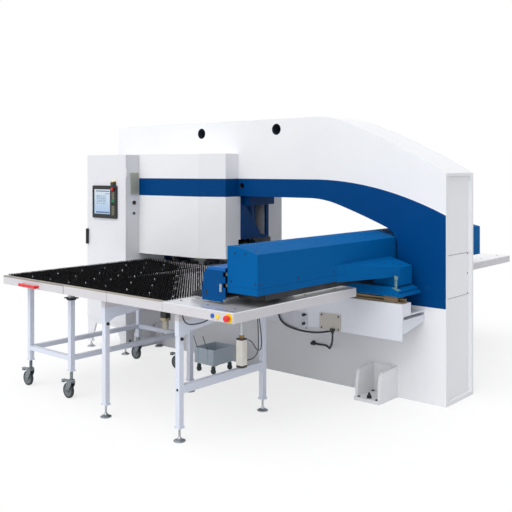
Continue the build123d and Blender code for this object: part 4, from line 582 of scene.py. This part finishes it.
finishes = {  # each finish, and the nodes that wear it
    "framePaint": "near_side_plate far_side_plate turret_covers",
    "throatPaint": "frame_cross_plates",
    "servicePaint": "rear_service_panel",
    "plainWhite": "floor_brackets",
    "deepBlue": "ram_cylinder",
    "supportPaint": "rail_supports",
    "cabinetPaint": "cabinet_body cabinet_stand cabinet_door",
    "tablePaint": "table_frames centre_tables",
    "platePaint": "table_plates",
    "legPaint": "leg_frames cart_frame",
    "redPaint": "cart_handle",
    "binPaint": "scrap_bin",
    "beamPaint": "y_beam beam_carriers",
    "guardPaint": "carriage_guard",
    "blackSteel": "anchor_bolts door_handle",
    "zincSteel": "levelling_feet stop_pin",
    "forkSteel": "caster_fork_1 caster_fork_2 caster_fork_3 caster_fork_4",
    "railSteel": "y_rails",
    "ballSteel": "ball_units",
    "turretSteel": "upper_turret lower_turret",
    "toolSteel": "carriage punch_holders die_holders ram clamp_jaw_1 clamp_jaw_2 clamp_jaw_3",
    "cylinderAlloy": "air_cylinder",
    "regulatorMetal": "filter_regulator",
    "brushFibre": "table_brushes",
    "vent": "vent_grille",
    "coverPlate": "cover_plates",
    "darkPlastic": "isolator_knob",
    "redPlastic": "panel_estop table_estop",
    "bluePlastic": "blue_button",
    "yellowPlastic": "yellow_button",
    "operatorPanel": "cnc_panel",
}


def setMaterial(item, material):
    if not item.material_slots:
        item.data.materials.append(material)
    for slot in item.material_slots:
        slot.material = material


dressed = {nodeName: finish for finish, names in finishes.items() for nodeName in names.split()}
for nodeName, finish in dressed.items():
    setMaterial(nodes[nodeName], materials[finish])
for index in (1, 2, 3, 4):
    low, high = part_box(f"caster_wheel_{index}")
    wheel = plasticMaterial(f"casterWheel{index}", {
        "gloss": 0.5, "mottle": 0.06, "colour": wheelColour((low + high) / 2)})
    setMaterial(nodes[f"caster_wheel_{index}"], wheel)
print("stage: materials on", len(dressed) + 4, "nodes")


# pieces

def linkPiece(piece, finish, body="machine"):
    # a finished piece: it stands at the origin, and rides on its body
    show(piece)
    setMaterial(piece, materials[finish])
    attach(piece, body)
    return piece


def runTree(name, tree, values, start=None):
    # evaluates a geometry tree once and keeps the result as a plain mesh
    holder = bpy.data.objects.new(name + "Holder", start or bpy.data.meshes.new(name + "Holder"))
    show(holder)
    modifier = holder.modifiers.new("build", "NODES")
    modifier.node_group = tree
    for item in tree.interface.items_tree:
        if item.item_type == "SOCKET" and item.in_out == "INPUT" and item.name in values:
            modifier[item.identifier] = values[item.name]
    evaluated = holder.evaluated_get(bpy.context.evaluated_depsgraph_get())
    mesh = bpy.data.meshes.new_from_object(evaluated)
    bpy.data.objects.remove(holder)
    mesh.name = name
    return bpy.data.objects.new(name, mesh)


def finishTree(tree, geometry, given, result):
    solid = add(tree, "GeometryNodeRealizeInstances", {"Geometry": geometry}).outputs["Geometry"]
    dressed = add(tree, "GeometryNodeSetMaterial", {"Geometry": solid, "Material": given["Material"]})
    feed(tree, result["Geometry"], dressed.outputs["Geometry"])


def ring(shape, sides, radius, height, turn=0.0, centre=(0.0, 0.0)):
    # vertices round a circle, level
    x, y = centre
    angles = [turn + math.tau * i / sides for i in range(sides)]
    return [shape.verts.new((x + radius * math.cos(angle), y + radius * math.sin(angle), height))
            for angle in angles]


def skin(shape, lower, upper):
    # a wall of faces between two rings
    for i in range(len(lower)):
        after = (i + 1) % len(lower)
        shape.faces.new((lower[i], lower[after], upper[after], upper[i]))


def asObject(shape, name):
    mesh = bpy.data.meshes.new(name)
    shape.to_mesh(mesh)
    shape.free()
    return bpy.data.objects.new(name, mesh)


def makeTuft(look):
    # a bundle of straight hairs that spreads towards its tips, one of them in the middle
    shape = bmesh.new()
    around = look["hairs"] - 1
    for i in range(look["hairs"]):
        turn = math.tau * i / around
        out = 0.0 if i == around else 1.0
        ends = []
        for reach, height, thick in ((look["rootRadius"], 0.0, look["hair"]),
                                     (look["tipRadius"], look["tip"] - look["deck"], look["tipHair"])):
            centre = (out * reach * math.cos(turn), out * reach * math.sin(turn))
            ends.append(ring(shape, 3, thick, height, turn, centre))
        skin(shape, *ends)
        shape.faces.new(ends[1])
        shape.faces.new(list(reversed(ends[0])))
    return asObject(shape, "tuft")


def makeBristleTree():
    # a square grid of tufts over one tray
    tree, given, result = startGroup(
        "bristleGrid",
        {"Tuft": "Object", "Centre": (0, 0, 0), "Length": 1.0, "Depth": 1.0, "Rows": 10, "Tufts": 10,
         "Splay": 0.04, "Seed": 7, "Material": "Material"},
        {"Geometry": "Geometry"}, "GeometryNodeTree",
    )
    field = add(tree, "GeometryNodeMeshGrid", {
        "Size X": given["Length"], "Size Y": given["Depth"],
        "Vertices X": given["Tufts"], "Vertices Y": given["Rows"],
    })
    spots = add(tree, "GeometryNodeTransform", {
        "Geometry": field.outputs["Mesh"], "Translation": given["Centre"]})
    lean = add(tree, "FunctionNodeRandomValue", data_type="FLOAT_VECTOR")
    less = times(tree, given["Splay"], -1.0)
    feed(tree, lean.inputs[0], joined(tree, less, less, 0.0))
    feed(tree, lean.inputs[1], joined(tree, given["Splay"], given["Splay"], math.tau))
    feed(tree, lean.inputs["Seed"], given["Seed"])
    grown = add(tree, "FunctionNodeRandomValue", data_type="FLOAT_VECTOR")
    feed(tree, grown.inputs[0], (0.9, 0.9, 0.97))
    feed(tree, grown.inputs[1], (1.1, 1.1, 1.0))
    feed(tree, grown.inputs["Seed"], calc(tree, "ADD", given["Seed"], 5.0))
    tuft = add(tree, "GeometryNodeObjectInfo", {"Object": given["Tuft"]})
    tufts = add(tree, "GeometryNodeInstanceOnPoints", {
        "Points": spots.outputs[0], "Instance": tuft.outputs["Geometry"],
        "Rotation": lean.outputs[0], "Scale": grown.outputs[0],
    })
    finishTree(tree, tufts.outputs[0], given, result)
    return tree


bristles = {
    "fields": {  # lowest and highest X and Y of each tray's brushes
        "nearBristles": (0.648, 2.139, 0.045, 1.176),
        "cartBristles": (0.528, 2.139, -0.804, 0.039),
        "farBristles": (-2.139, -0.648, 0.045, 1.176),
        "farFrontBristles": (-2.139, -0.528, -0.804, 0.039),
        "centreBristles": (-0.286, 0.286, 0.088, 1.174),
    },
    "pitch": 0.025, "margin": 0.007, "deck": 0.9101, "tip": 0.9625, "splay": 0.035,
    "seed": 11, "hairs": 7, "hair": 0.0012, "tipHair": 0.00138, "rootRadius": 0.0018, "tipRadius": 0.0036,
}


def buildBristles(look):
    tree = makeBristleTree()
    tuft = makeTuft(look)
    made = []
    for number, (name, (west, east, south, north)) in enumerate(look["fields"].items()):
        rows = int((north - south - 2 * look["margin"]) / look["pitch"]) + 1
        tufts = int((east - west - 2 * look["margin"]) / look["pitch"]) + 1
        piece = runTree(name, tree, {
            "Tuft": tuft, "Centre": ((west + east) / 2, (south + north) / 2, look["deck"]),
            "Length": (tufts - 1) * look["pitch"], "Depth": (rows - 1) * look["pitch"], "Rows": rows,
            "Tufts": tufts, "Splay": look["splay"], "Seed": look["seed"] + number,
            "Material": materials["brushFibre"],
        })
        made.append(linkPiece(piece, "brushFibre"))
    bpy.data.objects.remove(tuft)
    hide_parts("table_brushes")
    return made


bristlePieces = buildBristles(bristles)
print("stage: bristles,", sum(len(piece.data.polygons) for piece in bristlePieces), "faces")


# screws and bolts

screwLook = {  # one unit across the radius; the rings give the round profile from the foot up
    "sides": 12, "rings": ((1.0, 0.0), (1.0, 0.28), (0.86, 0.52), (0.6, 0.62)),
    "recess": 0.46, "recessDepth": 0.3, "recessTurn": 0.1,
}


def screwHead(name, look):
    # a button head with a six-sided recess
    shape = bmesh.new()
    sides = look["sides"]
    loops = [ring(shape, sides, radius, height) for radius, height in look["rings"]]
    top = look["rings"][-1][1]
    inner = [ring(shape, 6, look["recess"], height, look["recessTurn"])
             for height in (top, top - look["recessDepth"])]
    for lower, upper in zip(loops, loops[1:]):
        skin(shape, lower, upper)
    shape.faces.new(list(reversed(loops[0])))
    step = sides // 6
    for i in range(6):  # flat land between the round rim and the recess
        outer = [loops[-1][(i * step + k) % sides] for k in range(step + 1)]
        shape.faces.new(outer + [inner[0][(i + 1) % 6], inner[0][i]])
    skin(shape, *inner)
    shape.faces.new(inner[1])
    return asObject(shape, name)


def makeScatterTree():
    # one copy of a small part at each place, turned to face outwards
    tree, given, result = startGroup(
        "partAtPlaces",
        {"Geometry": "Geometry", "Part": "Object", "Material": "Material"},
        {"Geometry": "Geometry"}, "GeometryNodeTree",
    )
    facing = add(tree, "GeometryNodeInputNamedAttribute", {"Name": "facing"}, data_type="FLOAT_VECTOR")
    size = add(tree, "GeometryNodeInputNamedAttribute", {"Name": "size"}, data_type="FLOAT")
    turn = add(tree, "FunctionNodeAlignRotationToVector", {"Vector": facing.outputs[0]}, axis="Z")
    part = add(tree, "GeometryNodeObjectInfo", {"Object": given["Part"]})
    copies = add(tree, "GeometryNodeInstanceOnPoints", {
        "Points": given["Geometry"], "Instance": part.outputs["Geometry"],
        "Rotation": turn.outputs[0], "Scale": size.outputs[0],
    })
    finishTree(tree, copies.outputs[0], given, result)
    return tree


scatterTree = makeScatterTree()
smallScrew = screwHead("smallScrew", screwLook)


def scatter(name, look):
    # a head at each place, turned the way it faces, in one piece
    mesh = bpy.data.meshes.new(name + "Places")
    mesh.from_pydata([spot for spot, facing in look["places"]], [], [])
    facing = mesh.attributes.new("facing", "FLOAT_VECTOR", "POINT")
    facing.data.foreach_set("vector", [value for spot, way in look["places"] for value in way])
    size = mesh.attributes.new("size", "FLOAT", "POINT")
    size.data.foreach_set("value", [look["radius"]] * len(look["places"]))
    piece = runTree(name, scatterTree, {"Part": smallScrew, "Material": materials["blackSteel"]}, mesh)
    return linkPiece(piece, "blackSteel", look.get("body", "machine"))


def steps(first, last, count):
    return [first + (last - first) * i / (count - 1) for i in range(count)]


def consoleHeight(y):
    # the consoles' lids fall away behind the beam
    return 1.1545 - 0.29 * (y - 1.87)


up, outNear, outFar, outRear = (0, 0, 1), (1, 0, 0), (-1, 0, 0), (0, 1, 0)
slopeOut, consoleOut = (0.0, 0.225, 0.974), (0.0, 0.279, 0.960)
legSpots = ((2.102, 1.282), (2.102, 0.488), (-2.102, 1.282), (-2.102, 0.488), (-2.102, -0.62))
endSpots = ((1.673, 1.299), (1.764, 1.299), (1.640, 1.110), (1.852, 1.110))

fasteners = {  # each group: its body, head radius, and places with the way each head faces
    "plateScrews": {"radius": 0.0075, "places": [
        ((side * x, y, 0.9478), up) for side in (1, -1)
        for x in (0.93, 1.31, 1.66, 2.055) for y in (1.25, 1.505, 1.75)]},
    "beamScrews": {"body": "beam", "radius": 0.0065, "places": [
        *[((x, 1.80, 1.3175), slopeOut) for x in (1.906, 1.25, 0.59, -0.07, -0.73, -1.30)],
        *[((x, 1.645, 1.3435), up) for x in steps(1.90, -1.30, 6)],
        *[((x, 1.8695, 1.108), outRear) for x in (1.950, 1.541, 1.113, -0.60, -1.0, -1.345)],
        *[((1.9715, y, height), outNear) for y, height in endSpots],
        *[((-1.3695, y, height), outFar) for y, height in endSpots],
        *[((side * x, y, consoleHeight(y)), consoleOut) for side in (1, -1)
          for x, y in ((0.62, 1.93), (0.56, 1.965), (0.50, 2.0), (0.44, 2.03), (0.40, 1.93))]]},
    "railScrews": {"radius": 0.0065, "places": [
        ((side * 0.546, y, 0.8628), up) for side in (1, -1) for y in steps(0.32, 2.08, 23)]},
    "legBolts": {"radius": 0.012, "places": [
        ((x, y + way * 0.0195, 0.70), (0, way, 0)) for way in (1, -1) for x, y in legSpots]},
    "tieBolts": {"radius": 0.009, "places": [
        ((side * x + way * 0.0198, 1.282, 0.353), (way, 0, 0)) for side in (1, -1)
        for x in (1.222, 2.102) for way in (1, -1)]},
    "coverPlateScrews": {"radius": 0.007, "places": [
        ((0.6138, y, z), outNear) for y in (1.402, 1.566) for z in (0.563, 0.667)]},
    "knobPlateScrews": {"radius": 0.006, "places": [
        ((0.6138, y, z), outNear) for y in (1.027, 1.243) for z in (0.535, 0.647)]},
    "anchorWashers": {"radius": 0.012, "places": [
        ((side * x, y, 0.0275), up) for side in (1, -1) for x in (0.30, 0.51)
        for y in (1.695, 1.86, -1.235, -1.065)]},
}
for name, look in fasteners.items():
    scatter(name, look)


def bevelledBox(name, look):
    # one piece of several rounded blocks, each given by its lowest and highest corner
    shape = bmesh.new()
    for low, high in look["boxes"]:
        middle = [(a + b) / 2 for a, b in zip(low, high)]
        size = [b - a for a, b in zip(low, high)]
        matrix = Matrix.Translation(middle) @ Matrix.Diagonal((*size, 1.0))
        bmesh.ops.create_cube(shape, size=1.0, matrix=matrix)
    bmesh.ops.bevel(shape, geom=list(shape.edges), offset=look["bevel"], segments=2, affect="EDGES",
                    clamp_overlap=True)
    return linkPiece(asObject(shape, name), look.get("material", "blackSteel"),
                     look.get("body", "machine"))


smallParts = {  # brackets, latches and pads that the model leaves out; black steel unless a material is given
    "panelBeacon": {"slot": "dark_plastic", "material": "darkPlastic", "body": "door", "bevel": 0.003,
                    "boxes": [((0.765, -1.094, 1.6895), (0.797, -1.042, 1.728))]},
    "panelBeaconCap": {"slot": "yellow_plastic", "material": "yellowPlastic", "body": "door", "bevel": 0.002,
                       "boxes": [((0.766, -1.092, 1.7275), (0.796, -1.044, 1.738))]},
    "legBoltHeads": {"bevel": 0.003, "boxes": [
        ((x - 0.009, y - 0.036, 0.691), (x + 0.009, y + 0.036, 0.709)) for x, y in legSpots]},
    "cartLatch": {"bevel": 0.003, "boxes": [
        ((1.958, -0.138, 0.8125), (2.036, -0.034, 0.8205)),
        ((1.966, -0.112, 0.799), (2.028, -0.060, 0.8135))]},
    "guardReturn": {"slot": "beam_paint", "material": "guardPaint", "body": "carriage", "bevel": 0.001,
                    "boxes": [((1.984, 1.5815, low), (1.9898, 1.6035, high)) for low, high in (
                        (0.985, 1.0635), (1.0925, 1.1375), (1.1665, 1.1948))]},
    # a dark slab under the beam, standing in for the shade there and its dark reflection in the plates
    "beamRackCover": {"body": "beam", "bevel": 0.003, "boxes": [
        ((-1.27, 1.615, 0.986), (1.87, 1.845, 1.0335))]},
    "guardLatch": {"body": "carriage", "bevel": 0.002, "boxes": [
        ((1.9885, 1.420, 1.000), (1.9915, 1.4335, 1.040))]},
    "guardHinge": {"slot": "zinc_steel", "material": "zincSteel", "body": "carriage", "bevel": 0.0015,
                   "boxes": [((1.9885, 1.554, low), (1.9965, 1.576, low + 0.026)) for low in (1.034, 1.062)]},
}
for name, look in smallParts.items():
    bevelledBox(name, look)
print("stage: screws and small parts placed")


# cords: control points of each route, as in the model

cords = {
    "upperConduit": {
        "node": "upper_conduit", "diameter": 0.018, "length": 0.80, "ribPitch": 0.0075,
        "route": [(0.624, 0.955, 0.668), (0.624, 0.955, 0.618), (0.625, 0.978, 0.572), (0.626, 1.022, 0.541),
                  (0.626, 1.085, 0.522), (0.625, 1.160, 0.512), (0.618, 1.238, 0.506), (0.598, 1.312, 0.504),
                  (0.558, 1.376, 0.508), (0.498, 1.424, 0.518), (0.425, 1.452, 0.532), (0.352, 1.462, 0.544),
                  (0.283, 1.462, 0.544)],
    },
    "lowerConduit": {
        "node": "lower_conduit", "diameter": 0.018, "length": 0.66, "ribPitch": 0.0075,
        "route": [(0.624, 1.517, 0.530), (0.624, 1.517, 0.476), (0.606, 1.492, 0.424), (0.556, 1.440, 0.384),
                  (0.470, 1.375, 0.364), (0.375, 1.290, 0.350), (0.300, 1.205, 0.334), (0.267, 1.135, 0.321),
                  (0.267, 1.080, 0.321)],
    },
    "upperHose": {
        "node": "upper_hose", "diameter": 0.008, "length": 0.58,
        "route": [(1.412, 1.282, 0.573), (1.388, 1.282, 0.573), (1.363, 1.286, 0.559), (1.348, 1.297, 0.535),
                  (1.346, 1.316, 0.507), (1.349, 1.344, 0.497), (1.359, 1.372, 0.503), (1.370, 1.391, 0.523),
                  (1.375, 1.400, 0.551), (1.376, 1.400, 0.594), (1.374, 1.392, 0.650), (1.368, 1.376, 0.718),
                  (1.362, 1.358, 0.785), (1.358, 1.350, 0.846), (1.358, 1.350, 0.906)],
    },
    "lowerHose": {
        "node": "lower_hose", "diameter": 0.008, "length": 0.565,
        "route": [(1.412, 1.282, 0.421), (1.384, 1.282, 0.421), (1.354, 1.285, 0.422), (1.326, 1.290, 0.432),
                  (1.306, 1.296, 0.454), (1.296, 1.301, 0.486), (1.298, 1.306, 0.530), (1.306, 1.311, 0.590),
                  (1.316, 1.316, 0.660), (1.326, 1.321, 0.735), (1.332, 1.325, 0.790), (1.334, 1.326, 0.850),
                  (1.334, 1.326, 0.906)],
    },
    "tableCable": {
        "node": "table_cable", "diameter": 0.009, "length": 0.455,
        "route": [(2.122, 1.330, 0.906), (2.122, 1.330, 0.872), (2.113, 1.331, 0.838), (2.092, 1.332, 0.811),
                  (2.060, 1.333, 0.796), (2.018, 1.334, 0.791), (1.968, 1.334, 0.789), (1.916, 1.333, 0.792),
                  (1.872, 1.332, 0.801), (1.837, 1.331, 0.818), (1.813, 1.331, 0.843), (1.803, 1.330, 0.874),
                  (1.803, 1.330, 0.906)],
    },
}


def cordCurve(name, route, radius):
    curve = bpy.data.curves.new(name, "CURVE")
    curve.dimensions = "3D"
    curve.resolution_u = 8
    spline = curve.splines.new("NURBS")
    spline.points.add(len(route) - 1)
    for point, spot in zip(spline.points, route):
        point.co = (*spot, 1.0)
    spline.order_u = 3  # after the points, or it stays at straight runs
    spline.use_endpoint_u = True
    curve.bevel_depth = radius
    curve.bevel_resolution = 3
    curve.use_fill_caps = True
    return bpy.data.objects.new(name, curve)


def makeRibTree():
    # rings along a route, for a corrugated conduit
    tree, given, result = startGroup(
        "conduitRibs",
        {"Route": "Object", "Pitch": 0.0075, "Radius": 0.009, "Thickness": 0.0016, "Material": "Material"},
        {"Geometry": "Geometry"}, "GeometryNodeTree",
    )
    route = add(tree, "GeometryNodeObjectInfo", {"Object": given["Route"]})
    spots = add(tree, "GeometryNodeCurveToPoints", {
        "Curve": route.outputs["Geometry"], "Length": given["Pitch"]}, mode="LENGTH")
    turn = add(tree, "FunctionNodeAlignRotationToVector", {"Vector": spots.outputs["Tangent"]}, axis="Z")
    circle = add(tree, "GeometryNodeCurvePrimitiveCircle", {"Resolution": 12, "Radius": given["Radius"]})
    profile = add(tree, "GeometryNodeCurvePrimitiveCircle", {"Resolution": 5, "Radius": given["Thickness"]})
    tube = add(tree, "GeometryNodeCurveToMesh", {
        "Curve": circle.outputs["Curve"], "Profile Curve": profile.outputs["Curve"],
    })
    rings = add(tree, "GeometryNodeInstanceOnPoints", {
        "Points": spots.outputs["Points"], "Instance": tube.outputs["Mesh"], "Rotation": turn.outputs[0],
    })
    finishTree(tree, rings.outputs[0], given, result)
    return tree


ribLook = {"sunk": 0.0014, "thickness": 0.0015, "core": 0.0012}  # taken off the conduit's own radius
ribTree = makeRibTree()
for name, look in cords.items():
    radius = look["diameter"] / 2
    if "ribPitch" in look:
        line = cordCurve(name + "Line", look["route"], 0.0)
        show(line)
        ribPiece = runTree(name + "Ribs", ribTree, {
            "Route": line, "Pitch": look["ribPitch"], "Radius": radius - ribLook["sunk"],
            "Thickness": ribLook["thickness"], "Material": materials["cordRubber"],
        })
        bpy.data.objects.remove(line)
        linkPiece(ribPiece, "cordRubber")
        radius -= ribLook["core"]
    piece = linkPiece(cordCurve(name, look["route"], radius), "cordRubber")
    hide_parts(look["node"])
print("stage: cords laid")


# floor, lights and camera

floorLook = {"size": 60.0, "clearFrom": 3.6, "clearTo": 6.6, "shadowShare": 0.28, "tone": tone(252, 252, 252),
             "bounce": tone(230, 230, 232)}


def buildFloor(look):
    half = look["size"] / 2
    corners = [(-half, -half, 0), (half, -half, 0), (half, half, 0), (-half, half, 0)]
    mesh = bpy.data.meshes.new("floor")
    mesh.from_pydata(corners, [], [(0, 1, 2, 3)])
    floor = bpy.data.objects.new("floor", mesh)
    show(floor)
    material = bpy.data.materials.new("floor")
    material.use_nodes = True
    tree = material.node_tree
    tree.nodes.clear()
    output = add(tree, "ShaderNodeOutputMaterial")
    rays = add(tree, "ShaderNodeLightPath").outputs
    bounced = blend(tree, rays["Is Diffuse Ray"], look["tone"], look["bounce"])
    matte = add(tree, "ShaderNodeBsdfDiffuse", {"Color": bounced}).outputs[0]
    white = add(tree, "ShaderNodeEmission", {"Color": (1, 1, 1, 1), "Strength": 1.0}).outputs[0]
    spot = add(tree, "ShaderNodeTexCoord").outputs["Object"]
    reach = vectorCalc(tree, "LENGTH", spot)
    share = remap(tree, reach, look["clearFrom"], look["clearTo"], 1 - look["shadowShare"], 1.0)
    seen = anyOf(tree, [rays[kind] for kind in ("Is Camera Ray", "Is Glossy Ray", "Is Transmission Ray")])
    mixed = add(tree, "ShaderNodeMixShader", {0: times(tree, share, seen), 1: matte, 2: white})
    feed(tree, output.inputs["Surface"], mixed.outputs[0])
    mesh.materials.append(material)


buildFloor(floorLook)

worldLook = {"tone": (0.96, 0.975, 1.0, 1.0), "strength": 0.53}


def buildWorld(look):
    world = bpy.data.worlds.new("studio")
    world.use_nodes = True
    tree = world.node_tree
    tree.nodes.clear()
    rays = add(tree, "ShaderNodeLightPath").outputs
    seen = anyOf(tree, [rays[kind] for kind in ("Is Camera Ray", "Is Glossy Ray", "Is Transmission Ray")])
    soft = add(tree, "ShaderNodeBackground", {"Color": look["tone"], "Strength": look["strength"]}).outputs[0]
    white = add(tree, "ShaderNodeBackground", {"Color": (1, 1, 1, 1), "Strength": 1.0}).outputs[0]
    mixed = add(tree, "ShaderNodeMixShader", {0: seen, 1: soft, 2: white})
    output = add(tree, "ShaderNodeOutputWorld")
    feed(tree, output.inputs["Surface"], mixed.outputs[0])
    bpy.context.scene.world = world


buildWorld(worldLook)

lamps = {
    "overhead": {"from": (0.9, 0.0, 2.2), "strength": 1.3, "spread": 60},
    "nearSide": {"from": (2.5, 0.3, 1.5), "strength": 1.0, "spread": 70},
}
for name, look in lamps.items():
    light = bpy.data.lights.new(name, "SUN")
    light.energy = look["strength"]
    light.angle = math.radians(look["spread"])
    lamp = bpy.data.objects.new(name, light)
    lamp.rotation_mode = "QUATERNION"
    lamp.rotation_quaternion = Vector(look["from"]).to_track_quat("Z", "Y")
    show(lamp)

cameraLook = {"place": (5.74, 5.087, 1.85), "looking": (-0.7593, -0.6508, 0.0), "lens": 54.0, "sensor": 36.0,
              "shiftY": -0.168, "sees": 200.0}
cameraData = bpy.data.cameras.new("photoView")
cameraData.lens = cameraLook["lens"]
cameraData.sensor_width = cameraLook["sensor"]
cameraData.shift_y = cameraLook["shiftY"]
cameraData.clip_end = cameraLook["sees"]
camera = bpy.data.objects.new("photoView", cameraData)
camera.location = cameraLook["place"]
camera.rotation_mode = "QUATERNION"
camera.rotation_quaternion = Vector(cameraLook["looking"]).to_track_quat("-Z", "Y")
show(camera)
bpy.context.scene.camera = camera
bpy.context.scene.view_settings.view_transform = "Standard"
print("stage: floor, lamps and camera ready")
